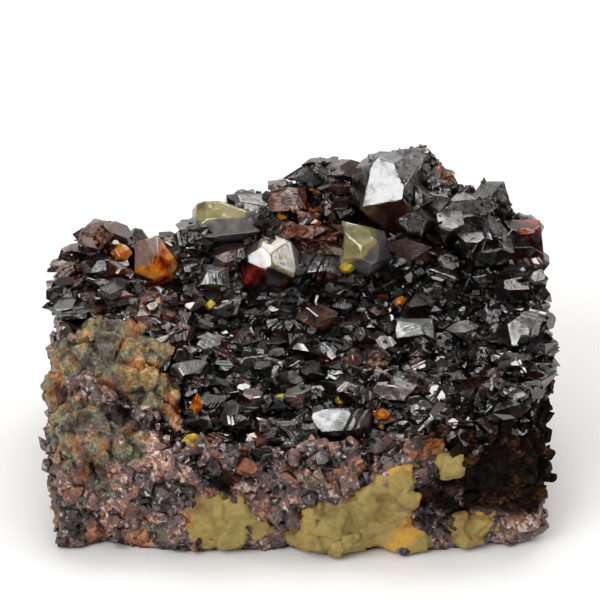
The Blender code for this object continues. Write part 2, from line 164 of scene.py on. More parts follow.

# %% [markdown]
# A material here is always one Principled shader, whose inputs the graph drives. Effects that several materials
# share, such as growth lines or dirt with painted shade in the crevices, are node groups. A group has named
# sockets going in and coming out, so each material uses it with its own values, and a change in the group
# reaches all of them.

# %% Helpers for materials and groups
def new_material(name):
    """A material, its node tree and its Principled shader."""
    material = bpy.data.materials.new(name)
    material.use_nodes = True
    return material, material.node_tree, material.node_tree.nodes["Principled BSDF"]


def new_group(name, inputs, outputs):
    """A shader node group with named sockets: (name, kind, default) going in and (name, kind) coming out."""
    group = bpy.data.node_groups.new(name, "ShaderNodeTree")
    for label, kind, default in inputs:
        socket = group.interface.new_socket(label, in_out="INPUT", socket_type="NodeSocket" + kind)
        if default is not None:
            socket.default_value = default
    for label, kind in outputs:
        group.interface.new_socket(label, in_out="OUTPUT", socket_type="NodeSocket" + kind)
    return group, group.nodes.new("NodeGroupInput").outputs, group.nodes.new("NodeGroupOutput").inputs


def use_group(tree, group, inputs=()):
    """Puts a group in a tree and returns its outputs."""
    made = tree.nodes.new("ShaderNodeGroup")
    made.node_tree = group
    for key, value in dict(inputs).items():
        if isinstance(value, bpy.types.NodeSocket):
            tree.links.new(value, made.inputs[key])
        else:
            made.inputs[key].default_value = value
    return made.outputs


print("material helpers: new_material, new_group, use_group")

# %% [markdown]
# ## Growth lines
#
# A sphalerite face is seldom a perfect mirror: the crystal grew in thin layers and twinned again and again, so
# most faces carry fine parallel steps. The lines run straight across one face and turn at the next edge. The
# group gets that from the face's own normal: the cross product of the normal with a direction that is random
# for each crystal lies in the face, and a one-dimensional noise along it gives steps of uneven width. They come
# in patches. Between them the faces are faintly wavy, which breaks a reflection into uneven light and dark.

# %% Group: growth lines
growth_lines, given, result = new_group(
    "Growth lines",
    (
        ("Vector", "Vector", None), ("Crystal", "Float", 0.5), ("Spacing", "Float", 0.2 * MM),
        ("Depth", "Float", 0.02 * MM), ("Strength", "Float", 0.5), ("Waves", "Float", 0.07 * MM),
    ),
    (("Normal", "Vector"),),
)
tree = growth_lines
axis = add(tree, "TexWhiteNoise", {"W": given["Crystal"]}, noise_dimensions="1D").outputs["Color"]
axis = add(tree, "VectorMath", {0: axis, 1: (0.5, 0.5, 0.5)}, operation="SUBTRACT").outputs[0]
face = add(tree, "NewGeometry").outputs["True Normal"]
across = add(tree, "VectorMath", {0: face, 1: axis}, operation="CROSS_PRODUCT").outputs[0]
across = add(tree, "VectorMath", {0: across}, operation="NORMALIZE").outputs[0]
along_face = add(tree, "VectorMath", {0: given["Vector"], 1: across}, operation="DOT_PRODUCT").outputs["Value"]
wander = clouded(tree, given["Vector"], 400.0, detail=1.0)
place_on_face = arith(tree, "DIVIDE", along_face, given["Spacing"])
place_on_face = arith(tree, "ADD", place_on_face, arith(tree, "MULTIPLY", wander, 1.2))
steps = {"W": place_on_face, "Scale": 1.0, "Detail": 3.0, "Roughness": 0.7}
steps = add(tree, "TexNoise", steps, noise_dimensions="1D").outputs["Fac"]
shaped = spread(tree, steps, low=0.35, high=0.65)
lined = clouded(tree, given["Vector"], 260.0, detail=2.0)
lined = spread(tree, lined, low=0.42, high=0.55)
strength = arith(tree, "MULTIPLY", given["Strength"], lined)
lines_bump = add(tree, "Bump", {"Strength": strength, "Distance": given["Depth"], "Height": shaped})
waves = clouded(tree, given["Vector"], 900.0, detail=5.0, roughness=0.62)
lined_normal = lines_bump.outputs["Normal"]
bump = add(tree, "Bump", {"Strength": 0.55, "Distance": given["Waves"], "Height": waves, "Normal": lined_normal})
tree.links.new(bump.outputs["Normal"], result["Normal"])
print("growth lines:", len(tree.nodes), "nodes")

# %% [markdown]
# ## Dirt and painted shade in the crevices
#
# Iron-stained clay and crushed crystal collect where nothing can wipe them away: between the crystals and in
# the pits of the rock. Shade falls there too. Ambient occlusion measures just that, and the mask that it gives
# darkens those places for both: it lays dirt, and it paints shade. It is broken up with noise, so that it lies
# in patches and not as an even shadow.

# %% Group: crevice dirt
crevice_dirt_and_shade, given, result = new_group(
    "Crevice dirt and shade",
    (("Vector", "Vector", None), ("Reach", "Float", 1.2 * MM), ("Amount", "Float", 0.5)),
    (("Mask", "Float"),),
)
tree = crevice_dirt_and_shade
openness = add(tree, "AmbientOcclusion", {"Distance": given["Reach"]}, samples=4).outputs["AO"]
closed = arith(tree, "SUBTRACT", 1.0, openness)
patches = clouded(tree, given["Vector"], 260.0, detail=4.0, roughness=0.65)
raised = arith(tree, "MULTIPLY", closed, arith(tree, "ADD", patches, given["Amount"]))
mask = spread(tree, raised, low=0.32, high=0.75)
tree.links.new(mask, result["Mask"])
print("crevice dirt:", len(tree.nodes), "nodes")

# %% [markdown]
# ## Crystal finishes
#
# Sphalerite bends light almost as strongly as diamond: its refractive index is 2.37, so a clean face mirrors
# about a sixth of the light even head-on. That is why black crystals look silvery where they catch a lamp and
# coal black elsewhere. The dark finish is therefore a nearly black body under a sharp reflection, and all its
# life comes from the faces. Each crystal has its own number in the attribute "crystal", and "warm" says how
# low in iron it is, which turns the body from black over red-brown to amber. On the single crystals cut later,
# "warm" is also raised on the faces that look down, which paints a red-brown glow there, as of light coming
# through the crystal. "rust" marks the places where an earthy coat clings to the faces.
#
# Gaps between black crystals look blacker than the crystals, since shade falls in them. A rough surface with so
# high an index would shine grey there, so the crevice mask paints that shade, with a little dark dirt: the
# colour goes nearly black and the finish turns metallic, since a metal mirrors only in its own colour, and a
# metal that is nearly black swallows what falls on it.

# %% Finish: dark crystals
SPHALERITE_IOR = 2.37


def dark_sphalerite(name, rough, dirt, line_spacing, line_strength, frost_and_sheen, clouds):
    """Black to red-brown crystals with bright faces.

    rough is the range of roughness from crystal to crystal, frost_and_sheen the strength of a pale grey coat on
    faces that look up, which is partly settled powder and partly a painted sheen where the lamps above shine,
    and clouds how unevenly the warm colour lies in a crystal.
    """
    material, tree, shader = new_material(name)
    coords = add(tree, "TexCoord").outputs["Object"]
    crystal = attribute(tree, "crystal")
    warm = attribute(tree, "warm")
    cloud = clouded(tree, coords, 420.0, detail=4.0)
    uneven = arith(tree, "MULTIPLY", arith(tree, "SUBTRACT", cloud, 0.52), clouds)
    depth = arith(tree, "ADD", warm, uneven, clamp=True)
    colour = ramp(tree, depth, (
        (0.0, (0.002, 0.0015, 0.0014)), (0.30, (0.007, 0.0035, 0.0025)), (0.55, (0.032, 0.007, 0.003)),
        (0.8, (0.13, 0.030, 0.007)), (1.0, (0.42, 0.16, 0.03)),
    ))
    lines = use_group(tree, growth_lines, {
        "Vector": coords, "Crystal": crystal, "Spacing": line_spacing, "Depth": 0.03 * MM,
        "Strength": line_strength,
    })
    # The crevice mask paints shade in the gaps, with a little dark dirt: nearly black, and metallic.
    grime_and_shade = use_group(tree, crevice_dirt_and_shade, {"Vector": coords, "Amount": dirt})["Mask"]
    fine = clouded(tree, coords, 2500.0, detail=2.0)
    dust_and_shade = ramp(tree, fine, ((0.35, (0.001, 0.0008, 0.0006)), (0.7, (0.014, 0.008, 0.005))))
    # Faces that look up get a pale grey coat: partly settled powder, partly a painted sheen of the lamps above.
    upright = add(tree, "SeparateXYZ", {0: add(tree, "NewGeometry").outputs["Normal"]}).outputs["Z"]
    pale_film_and_sheen = clouded(tree, coords, 700.0, detail=5.0, roughness=0.7)
    pale_film_and_sheen = arith(tree, "ADD", arith(tree, "MULTIPLY", pale_film_and_sheen, 0.7), arith(tree, "MULTIPLY", upright, 0.45))
    pale_film_and_sheen = spread(tree, pale_film_and_sheen, low=0.52, high=0.82, end=frost_and_sheen)
    colour = blend(tree, pale_film_and_sheen, colour, rgb(0.20, 0.205, 0.21))
    coat = clouded(tree, coords, 1500.0, detail=6.0, roughness=0.72)
    coated = arith(tree, "ADD", coat, arith(tree, "MULTIPLY", attribute(tree, "rust"), 0.22))
    coated = spread(tree, coated, low=0.64, high=0.78, end=0.8)
    earth = ramp(tree, coat, (
        (0.42, (0.07, 0.013, 0.006)), (0.54, (0.22, 0.060, 0.018)), (0.66, (0.44, 0.23, 0.10)),
    ))
    colour = blend(tree, coated, colour, earth)
    tree.links.new(blend(tree, arith(tree, "MULTIPLY", grime_and_shade, 0.75), colour, dust_and_shade), shader.inputs["Base Color"])
    variety = add(tree, "TexWhiteNoise", {"W": crystal}, noise_dimensions="1D").outputs["Value"]
    polish = spread(tree, variety, start=rough[0], end=rough[1])
    blotch = clouded(tree, coords, 800.0, detail=5.0, roughness=0.7)
    smear = spread(tree, blotch, low=0.45, high=0.75, end=0.15)
    smear = arith(tree, "ADD", smear, arith(tree, "MULTIPLY", arith(tree, "MAXIMUM", pale_film_and_sheen, coated), 0.35))
    roughness = arith(tree, "ADD", polish, smear)
    roughness = arith(tree, "ADD", roughness, arith(tree, "MULTIPLY", grime_and_shade, 0.20), clamp=True)
    tree.links.new(roughness, shader.inputs["Roughness"])
    tree.links.new(arith(tree, "MULTIPLY", grime_and_shade, 0.9), shader.inputs["Metallic"])
    tree.links.new(lines["Normal"], shader.inputs["Normal"])
    shader.inputs["IOR"].default_value = SPHALERITE_IOR
    return material


DARK = dark_sphalerite("dark_sphalerite", (0.03, 0.22), 0.12, 0.26 * MM, 0.90, 0.04, 0.8)
CROWN_DARK = dark_sphalerite("crown_sphalerite", (0.05, 0.16), 0.05, 0.36 * MM, 0.80, 0.50, 0.5)
print("dark crystal finishes:", DARK.name, CROWN_DARK.name)

# %% [markdown]
# The low-iron crystals are clear enough for light to pass. They transmit with the same refractive index, and
# an absorbing volume inside takes out the blue and green, so thin edges glow yellow and thick middles go deep
# amber or red. No crystal is clear throughout: cracks and milky veils scatter light, which subsurface
# scattering in the deep colour stands for, and that is what makes amber glow from within. How much light passes
# is one plain number for each finish. The veils show in its colour and roughness.

# %% Finish: clear crystals
def clear_sphalerite(name, tones, zone_tones, absorb, density, transmission, glow, rough, veil_scale=330.0):
    """Transparent crystal: tones colour its cloudy parts, zone_tones its marked zone, absorb its depth."""
    material, tree, shader = new_material(name)
    coords = add(tree, "TexCoord").outputs["Object"]
    crystal = attribute(tree, "crystal")
    cloud = clouded(tree, coords, veil_scale, detail=4.0, roughness=0.6, distortion=0.3)
    zone = attribute(tree, "zone")
    ragged = arith(tree, "ADD", zone, arith(tree, "MULTIPLY", arith(tree, "SUBTRACT", cloud, 0.5), 0.9))
    ragged = spread(tree, ragged, low=0.35, high=0.65)
    tone = blend(tree, ragged, ramp(tree, cloud, tones), ramp(tree, cloud, zone_tones))
    veil = spread(tree, cloud, low=0.40, high=0.62)
    # The crevice mask darkens the gaps to dark brown: clay, and painted shade.
    grime_and_shade = use_group(tree, crevice_dirt_and_shade, {"Vector": coords, "Amount": 0.10})["Mask"]
    tree.links.new(blend(tree, grime_and_shade, tone, rgb(0.05, 0.022, 0.012)), shader.inputs["Base Color"])
    shader.inputs["Transmission Weight"].default_value = transmission
    lines = use_group(tree, growth_lines, {
        "Vector": coords, "Crystal": crystal, "Spacing": 0.45 * MM, "Depth": 0.03 * MM, "Strength": 0.35,
    })
    tree.links.new(lines["Normal"], shader.inputs["Normal"])
    roughness = arith(tree, "ADD", rough, arith(tree, "MULTIPLY", veil, 0.10))
    tree.links.new(roughness, shader.inputs["Roughness"])
    shader.inputs["IOR"].default_value = SPHALERITE_IOR
    shader.inputs["Subsurface Weight"].default_value = glow
    shader.inputs["Subsurface Radius"].default_value = (1.0, 0.35, 0.08)
    shader.inputs["Subsurface Scale"].default_value = 2.0 * MM
    depth = add(tree, "VolumeAbsorption", {"Color": rgb(*absorb), "Density": density})
    output = tree.nodes["Material Output"]
    tree.links.new(depth.outputs["Volume"], output.inputs["Volume"])
    return material


print("clear finish: tones, a zone, an absorbing depth and a refractive index of", SPHALERITE_IOR)

# %% [markdown]
# Five tones of clear crystal are needed. Some crystals are of two colours: the mesh marks one side of them in
# the attribute "zone", and the second set of tones is used there.

# %% Five clear crystals
AMBER = clear_sphalerite(
    "amber_sphalerite",
    (
        (0.34, (0.20, 0.030, 0.004)), (0.42, (0.58, 0.13, 0.010)), (0.50, (0.92, 0.32, 0.018)),
        (0.57, (1.0, 0.48, 0.04)), (0.66, (0.50, 0.14, 0.02)),
    ),
    # The zone's tones: pinkish grey, partly a painted reflection of the front-left lamp.
    (
        (0.35, (0.22, 0.12, 0.09)), (0.50, (0.44, 0.32, 0.27)), (0.62, (0.36, 0.24, 0.20)),
        (0.75, (0.56, 0.44, 0.38)),
    ),
    (0.98, 0.45, 0.04), 300.0, 0.42, 0.8, 0.08, 420.0,
)
RED = clear_sphalerite(
    "red_sphalerite",
    (
        (0.40, (0.003, 0.001, 0.001)), (0.50, (0.020, 0.0015, 0.001)), (0.58, (0.14, 0.005, 0.002)),
        (0.68, (0.42, 0.03, 0.006)),
    ),
    (
        (0.36, (0.26, 0.21, 0.06)), (0.46, (0.34, 0.31, 0.20)), (0.56, (0.46, 0.44, 0.39)),
        (0.70, (0.30, 0.25, 0.09)),
    ),
    (0.92, 0.12, 0.04), 480.0, 0.32, 0.4, 0.16, 300.0,
)
OLIVE = clear_sphalerite(
    "olive_sphalerite",
    (
        (0.36, (0.12, 0.11, 0.125)), (0.50, (0.19, 0.175, 0.19)), (0.60, (0.25, 0.23, 0.225)),
        (0.70, (0.34, 0.30, 0.20)),
    ),
    (
        (0.34, (0.20, 0.18, 0.10)), (0.46, (0.32, 0.28, 0.12)), (0.55, (0.40, 0.35, 0.15)),
        (0.68, (0.36, 0.34, 0.27)),
    ),
    (0.90, 0.82, 0.40), 220.0, 0.20, 0.5, 0.14, 330.0,
)
GEM = clear_sphalerite(
    "gemmy_sphalerite",
    (
        (0.35, (0.14, 0.008, 0.002)), (0.50, (0.55, 0.08, 0.006)), (0.62, (0.90, 0.32, 0.02)),
        (0.75, (0.65, 0.35, 0.10)),
    ),
    ((0.0, (0.5, 0.1, 0.01)), (1.0, (0.8, 0.3, 0.02))),
    (0.96, 0.32, 0.05), 500.0, 0.30, 0.8, 0.08,
)
GOLD = clear_sphalerite(
    "gold_sphalerite",
    ((0.35, (0.35, 0.16, 0.01)), (0.50, (0.85, 0.55, 0.03)), (0.65, (1.0, 0.80, 0.15))),
    ((0.0, (0.5, 0.3, 0.02)), (1.0, (0.9, 0.7, 0.1))),
    (0.98, 0.80, 0.10), 300.0, 0.32, 0.8, 0.07,
)
print("clear crystal finishes:", AMBER.name, RED.name, OLIVE.name, GEM.name, GOLD.name)

# %% [markdown]
# ## Crystal shapes
#
# A crystal is the space left between a few families of parallel growth planes. So each shape starts as a cube
# that is sliced flat at every plane, with the cut closed by a new face. Sphalerite's common families are the
# tetrahedron, its opposite, the cube and the rhombic dodecahedron. No two faces grow at quite the same rate, so
# directions and distances wobble a little, and the result is sharp, uneven and never quite repeated.

# %% Cutting a crystal
CUBE = [Vector(d) for d in ((1, 0, 0), (-1, 0, 0), (0, 1, 0), (0, -1, 0), (0, 0, 1), (0, 0, -1))]
TETRA = [Vector(d).normalized() for d in ((1, 1, 1), (1, -1, -1), (-1, 1, -1), (-1, -1, 1))]
ANTI = [-d for d in TETRA]
DODECA = [(a + b).normalized() for i, a in enumerate(CUBE) for b in CUBE[i + 1 :] if abs(a.dot(b)) < 0.5]
HABITS = {
    "tetrahedral": ((TETRA, 0.50), (ANTI, 0.82)),
    "edged": ((TETRA, 0.54), (ANTI, 0.90), (CUBE, 0.88)),
    "dodecahedral": ((DODECA, 0.82), (TETRA, 0.92)),
    "blocky": ((CUBE, 0.70), (TETRA, 0.80), (DODECA, 0.93)),
    "octahedral": ((TETRA, 0.58), (ANTI, 0.64)),
}


def slice_planes(planes):
    """The solid left inside a set of planes: (outward direction, distance from the centre)."""
    form = bmesh.new()
    bmesh.ops.create_cube(form, size=4.0)
    for direction, distance in planes:
        geometry = form.verts[:] + form.edges[:] + form.faces[:]
        cut = bmesh.ops.bisect_plane(
            form, geom=geometry, dist=1e-5, plane_co=direction * distance, plane_no=direction, clear_outer=True
        )
        rim = [part for part in cut["geom_cut"] if isinstance(part, bmesh.types.BMEdge)]
        if len(rim) > 2:
            bmesh.ops.contextual_create(form, geom=rim)
    bmesh.ops.remove_doubles(form, verts=form.verts[:], dist=0.02)
    bmesh.ops.recalc_face_normals(form, faces=form.faces[:])
    return form


def cut_crystal(habit, chance, wobble):
    """A crystal of radius about 1 whose faces lean and lie a little off their places."""
    planes = []
    for family, distance in HABITS[habit]:
        for direction in family:
            tilt = Vector([chance.uniform(-1, 1) for _ in range(3)]) * wobble
            grown = distance * chance.uniform(1 - 2.2 * wobble, 1 + wobble)
            planes.append(((direction + tilt).normalized(), grown))
    return slice_planes(planes)


print("crystal habits:", ", ".join(HABITS))

# %% [markdown]
# Two marks of growth are cut into some of them. A terrace is a last, smaller layer on a face: an inset whose
# middle is moved outwards. Twinning makes parallel ribs: the crystal is cut across many times, and every other
# ring of corners is drawn in towards the axis.

# %% Terraces and ribs
def add_terraces(form, chance, most, height, width=(0.06, 0.16)):
    """Raises a smaller plate on the largest faces, as the last growth layers do."""
    for face in sorted(form.faces, key=lambda f: -f.calc_area())[:most]:
        inset = chance.uniform(*width) * math.sqrt(face.calc_area())
        bmesh.ops.inset_region(form, faces=[face], thickness=inset, use_even_offset=True)
        face.normal_update()
        bmesh.ops.translate(form, vec=face.normal * height * chance.uniform(0.6, 1.4), verts=face.verts[:])


def cut_levels(form, lamella, levels):
    """Cuts rings round the crystal across a direction. Each has its level and how far it is drawn in."""
    for level, pull in levels:
        geometry = form.verts[:] + form.edges[:] + form.faces[:]
        cut = bmesh.ops.bisect_plane(form, geom=geometry, dist=1e-5, plane_co=lamella * level, plane_no=lamella)
        if pull < 1.0:
            for vert in [part for part in cut["geom_cut"] if isinstance(part, bmesh.types.BMVert)]:
                axis_point = lamella * vert.co.dot(lamella)
                vert.co = axis_point + (vert.co - axis_point) * pull


def add_twin_grooves(form, chance, count, pull):
    """Cuts the crystal into parallel lamellae, every other one drawn in, as repeated twinning does."""
    lamella = chance.choice(TETRA)
    levels = [-0.6 + 1.2 * (step + 0.5) / count + chance.uniform(-0.03, 0.03) for step in range(count)]
    cut_levels(form, lamella, [(level, pull if step % 2 else 1.0) for step, level in enumerate(levels)])


print("growth marks: terraces and ribs")

# %% [markdown]
# The crust needs thousands of crystals, and nobody can tell whether two of them far apart have one shape. So a
# small stock of unit crystals is cut once, and each is used many times, turned and stretched differently.

# %% A stock of crystals
def finished_mesh(form, name):
    """The mesh of a bmesh, which is freed."""
    mesh = bpy.data.meshes.new(name)
    form.to_mesh(mesh)
    form.free()
    return mesh


def crystal_shapes(count, seed, habits, wobble, terraces, grooves):
    """Meshes of unit crystals to draw from."""
    chance = random.Random(seed)
    shapes = []
    for number in range(count):
        form = cut_crystal(habits[number % len(habits)], chance, wobble)
        if grooves and number % 3 == 0:
            add_twin_grooves(form, chance, grooves, 0.86)
        elif terraces and number % 3 == 1:
            add_terraces(form, chance, terraces, 0.05)
        shapes.append(finished_mesh(form, "crystal_shape"))
    return shapes


ALL_HABITS = ("tetrahedral", "edged", "blocky", "octahedral", "dodecahedral")
LARGE_SHAPES = crystal_shapes(36, 3, ALL_HABITS, 0.09, 3, 7)
SMALL_SHAPES = crystal_shapes(20, 4, ("tetrahedral", "blocky", "octahedral"), 0.09, 0, 0)
GRAIN_SHAPES = crystal_shapes(18, 5, ("blocky", "octahedral"), 0.12, 0, 0)
print("crystal shapes:", len(LARGE_SHAPES), len(SMALL_SHAPES), len(GRAIN_SHAPES))

# %% [markdown]
# ## Growing them over a surface
#
# The crystals sit on the solid model's own surface. Points are scattered over its triangles by area, each with
# a size that depends on where it lies. The largest are placed first and the smaller fill the room between them,
# which is how a crust looks when growth has filled every gap. A short ray along the normal tells whether a
# point lies open or inside a crevice, where nothing would be seen.

# %% Points on a surface
nodes = frame["nodes"]


def surface_points(source, count, seed):
    """Random points with their normals on a mesh object, evenly by area."""
    mesh = source.data
    mesh.calc_loop_triangles()
    corners = np.array([[mesh.vertices[i].co[:] for i in t.vertices] for t in mesh.loop_triangles])
    edge_a, edge_b = corners[:, 1] - corners[:, 0], corners[:, 2] - corners[:, 0]
    normals = np.cross(edge_a, edge_b)
    areas = np.linalg.norm(normals, axis=1)
    rng = np.random.default_rng(seed)
    picked = rng.choice(len(areas), size=count, p=areas / areas.sum())
    u, v = rng.random(count), rng.random(count)
    flip = u + v > 1
    u[flip], v[flip] = 1 - u[flip], 1 - v[flip]
    points = corners[picked, 0] + edge_a[picked] * u[:, None] + edge_b[picked] * v[:, None]
    return points, normals[picked] / areas[picked][:, None]


def tree_of(*names):
    """One search tree over several solid-model nodes."""
    corners, faces = [], []
    for name in names:
        mesh = nodes[name].data
        start = len(corners)
        corners += [vert.co.copy() for vert in mesh.vertices]
        faces += [[start + i for i in polygon.vertices] for polygon in mesh.polygons]
    return BVHTree.FromPolygons(corners, faces)


EVERYTHING = tree_of(*nodes)
SINGLES = tree_of(*[name for name in nodes if name not in ("matrix", "crystal_crust", "crown_cluster")])
CROWN = tree_of("crown_cluster")
CRUST = tree_of("crystal_crust")
print("search trees over", len(nodes), "solid-model nodes")

# %% [markdown]
# How near two crystals may come is a share of their radii together: 0.6 lets them overlap, as grown ones do,
# without one vanishing in the other. Testing each new place against all the others would take too long. So
# space is divided into cells as wide as the largest distance asked for, and a place is tested only against
# those in its own cell and the 26 around it.

# %% Choosing places
def fill(source, count, seed, size_at, spacing, reach=2.5 * MM):
    """Chooses places on a surface: (point, normal, radius), the largest first, each clear of the others."""
    points, normals = surface_points(source, count, seed)
    chance = random.Random(seed + 1)
    wanted = []
    for point, normal in zip(points, normals):
        point, normal = Vector(point), Vector(normal)
        radius = size_at(point, normal, chance)
        if radius and EVERYTHING.ray_cast(point + normal * 0.05 * MM, normal, reach)[0] is None:
            wanted.append((radius, point, normal))
    wanted.sort(key=lambda item: -item[0])
    cell = 2 * spacing * wanted[0][0]
    taken = {}
    chosen = []
    for radius, point, normal in wanted:
        home = tuple(int(c // cell) for c in point)
        near = (
            other
            for dx in (-1, 0, 1)
            for dy in (-1, 0, 1)
            for dz in (-1, 0, 1)
            for other in taken.get((home[0] + dx, home[1] + dy, home[2] + dz), ())
        )
        if all((point - other).length > spacing * (radius + size) for other, size in near):
            taken.setdefault(home, []).append((point, radius))
            chosen.append((point, normal, radius))
    return chosen


print("helper: fill, which takes the largest places first")

# %% [markdown]
# Each place then gets a crystal of the stock, set a little way into the surface. All the crystals of one layer
# are joined to one mesh, because a few large meshes render and export faster than thousands of objects. What tells
# them apart is stored on their faces: a number of their own, their warmth, and their share of rust. None may
# stick out of the specimen's box, so one that does is moved back by as much.

# %% Growing crystals
def link(name, mesh, slot, *replaced):
    """Puts a finished mesh in the scene as a piece of the specimen."""
    made = bpy.data.objects.new(name, mesh)
    bpy.context.scene.collection.objects.link(made)
    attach(made, "root")
    if replaced:
        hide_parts(*replaced)
    return made


def label(mesh, domain, **values):
    """Writes numbers that the finishes read."""
    for name, numbers in values.items():
        mesh.attributes.new(name, "FLOAT", domain).data.foreach_set("value", numbers)


INNER_LOW = np.array(CAD_BOX[0]) + np.array((-0.2, -0.2, 0.1)) * MM
INNER_HIGH = np.array(CAD_BOX[1]) + np.array((0.2, 0.2, 0.0)) * MM


def grow(name, slot, places, shapes, seed, look_at, materials, sink=(-0.45, 0.05), stretch=(0.6, 1.4), lie=1.0):
    """Builds one mesh of crystals.

    look_at gives each its warmth, darkness and material number. sink is the range of heights of its centre over
    the surface, in radii, stretch that of its three half sides, and a lie below 1 makes it flatter and wider.
    """
    chance = random.Random(seed)
    form = bmesh.new()
    crystals, warm, dark, rust, slots = [], [], [], [], []
    for point, normal, radius in places:
        centre = point + normal * radius * chance.uniform(*sink)
        turn = Euler([chance.uniform(0, math.tau) for _ in range(3)]).to_matrix().to_4x4()
        sides = Matrix.Diagonal([radius * chance.uniform(*stretch) for _ in range(3)] + [1.0])
        copy = chance.choice(shapes).copy()
        copy.transform(Matrix.Translation(centre) @ Matrix.Diagonal((2.0 - lie, 1.0, lie, 1.0)) @ turn @ sides)
        corners = np.array([vert.co[:] for vert in copy.vertices])
        below = np.maximum(INNER_LOW - corners.min(axis=0), 0.0)
        beyond = np.maximum(corners.max(axis=0) - INNER_HIGH, 0.0)
        copy.transform(Matrix.Translation(below - beyond))
        form.from_mesh(copy)
        faces = len(copy.polygons)
        bpy.data.meshes.remove(copy)
        look = look_at(point, radius, chance)
        crystals += [chance.random()] * faces
        warm += [look[0]] * faces
        dark += [look[1]] * faces
        rust += [rust_share(point)] * faces
        slots += [look[2]] * faces
    mesh = finished_mesh(form, name)
    label(mesh, "FACE", crystal=crystals, warm=warm, dark=dark, rust=rust)
    for material in materials:
        mesh.materials.append(material)
    mesh.polygons.foreach_set("material_index", slots)
    print(name + ":", len(places), "crystals,", sum(len(p.vertices) - 2 for p in mesh.polygons), "triangles")
    return link(name, mesh, slot)


print("crystals stay inside, mm:", (INNER_LOW / MM).round(1).tolist(), (INNER_HIGH / MM).round(1).tolist())

# %% [markdown]
# Rust is not spread evenly on the real specimen. It sits in spots of a few millimetres, at the rims of the
# basin, at the foot and in a band below the crest. The spots are listed as centre and reach, and the same list
# stains crystals and rock alike, so that a stain runs on from one to the other.

# %% Spots of rust
def near(point, x, y, z, reach):
    """1 at a place, falling to 0 at a distance: for patches of colour and size."""
    return max(0.0, 1.0 - (point - Vector((x, y, z)) * MM).length / (reach * MM))


RUST_SPOTS = (
    (-7.5, -28.5, 17.1, 1.8), (-7.8, -30.1, 14.6, 1.8), (7.7, -29.1, 14.7, 2.2), (5.2, -29.6, 13.0, 2.0),
    (18.7, -29.5, 18.2, 2.2), (15.6, -29.3, 17.4, 2.0), (-18.2, -21.8, 20.4, 2.4), (-16.8, -24.0, 19.0, 2.0),
    (-34.0, -17.0, 22.6, 2.6), (-23.6, -19.0, 25.0, 2.0), (-30.0, -19.6, 22.6, 2.0), (-35.0, -24.0, 3.0, 3.4),
    (-29.0, -28.0, 3.0, 3.4), (-23.0, -29.0, 1.5, 2.8), (29.0, -26.0, 9.0, 2.4), (11.3, -10.7, 20.8, 4.0),
    (1.5, 8.5, 35.2, 5.0), (5.0, 6.0, 33.0, 4.0), (-30.7, 3.2, 34.4, 4.5), (-33.5, 0.0, 32.0, 4.0),
    (31.0, -14.0, 22.0, 4.0), (18.0, -16.0, 20.5, 3.0), (-12.0, -4.0, 25.5, 3.5), (-22.0, -6.0, 28.0, 4.0),
)


def rust_share(point):
    """1 in the middle of the orange and red spots."""
    return min(1.0, 1.5 * max(near(point, *spot) for spot in RUST_SPOTS))


print("rust spots:", len(RUST_SPOTS))

# %% [markdown]
# ## The crust of crystals
#
# Three sizes grow into each other: blocks three to five millimetres across, crystals of one to three between
# them, and a glitter of fine ones in the gaps. Up the back wall they are a little larger. The first two lie
# flatter than they are wide, as crystals do that grew shoulder to shoulder. Most are black, with red and amber
# ones on the left, in a stained band below the crest and in a few spots in the basin.
#
# Each size has a function that tells the radius at a place, or that nothing grows there: the single crystals
# that are cut later need room.

# %% Sizes in the crust
KEPT_CLEAR = ((-13.3, 3.8, 27.9, 2.2), (2.9, 4.9, 29.2, 2.4), (17.1, -2.6, 22.2, 2.2), (33.0, 6.6, 33.6, 3.2))


def room_for(point, chance):
    """False close to the single crystals, and mostly on the crown's foot."""
    if SINGLES.find_nearest(point)[3] < 0.9 * MM or any(near(point, *spot) for spot in KEPT_CLEAR):
        return False
    return CROWN.find_nearest(point)[3] > 1.2 * MM or chance.random() < 0.3


def block_size(point, normal, chance):
    """Radius of a large block here, or None."""
    high = min(1.0, max(0.0, (point.z / MM - 20.0) / 12.0))
    if not room_for(point, chance) or chance.random() > 0.20:
        return None
    return chance.uniform(1.4, 2.3 + 0.5 * high) * MM


def medium_size(point, normal, chance):
    """Radius of a crystal of middling size here."""
    high = min(1.0, max(0.0, (point.z / MM - 20.0) / 12.0))
    return chance.uniform(0.6, 1.45 + 0.30 * high) * MM if room_for(point, chance) else None


def fine_size(point, normal, chance):
    """Radius of the finest crystals."""
    return chance.uniform(0.26, 0.5) * MM if SINGLES.find_nearest(point)[3] > 0.4 * MM else None


print("places kept clear:", len(KEPT_CLEAR))

# %% [markdown]
# Another function gives each crystal its look. Warmth is mostly low, and rises in the stained places, each
# listed as centre, reach and strength. Most of the warmest small crystals get the clear finish, and no large
# block gets warmer than a red brown, because a large orange one would catch the eye.

# %% Colours in the crust
STAINS = (
    (1.5, 8.5, 35.2, 6.0, 0.9), (-3.0, 9.5, 36.5, 4.0, 0.6), (8.5, -8.0, 20.0, 3.2, 0.3),
    (-12.0, -26.0, 17.5, 3.5, 0.8), (-27.0, 4.0, 32.5, 4.0, 0.8), (34.0, 6.0, 33.0, 4.0, 0.35),
    (22.0, 12.5, 41.0, 4.0, 0.7), (11.5, -23.0, 18.0, 2.2, 0.9), (-8.5, -17.0, 19.5, 2.5, 0.6),
    (-16.5, -1.0, 26.0, 3.5, 0.5), (30.0, -3.5, 25.5, 3.0, 0.6),
)


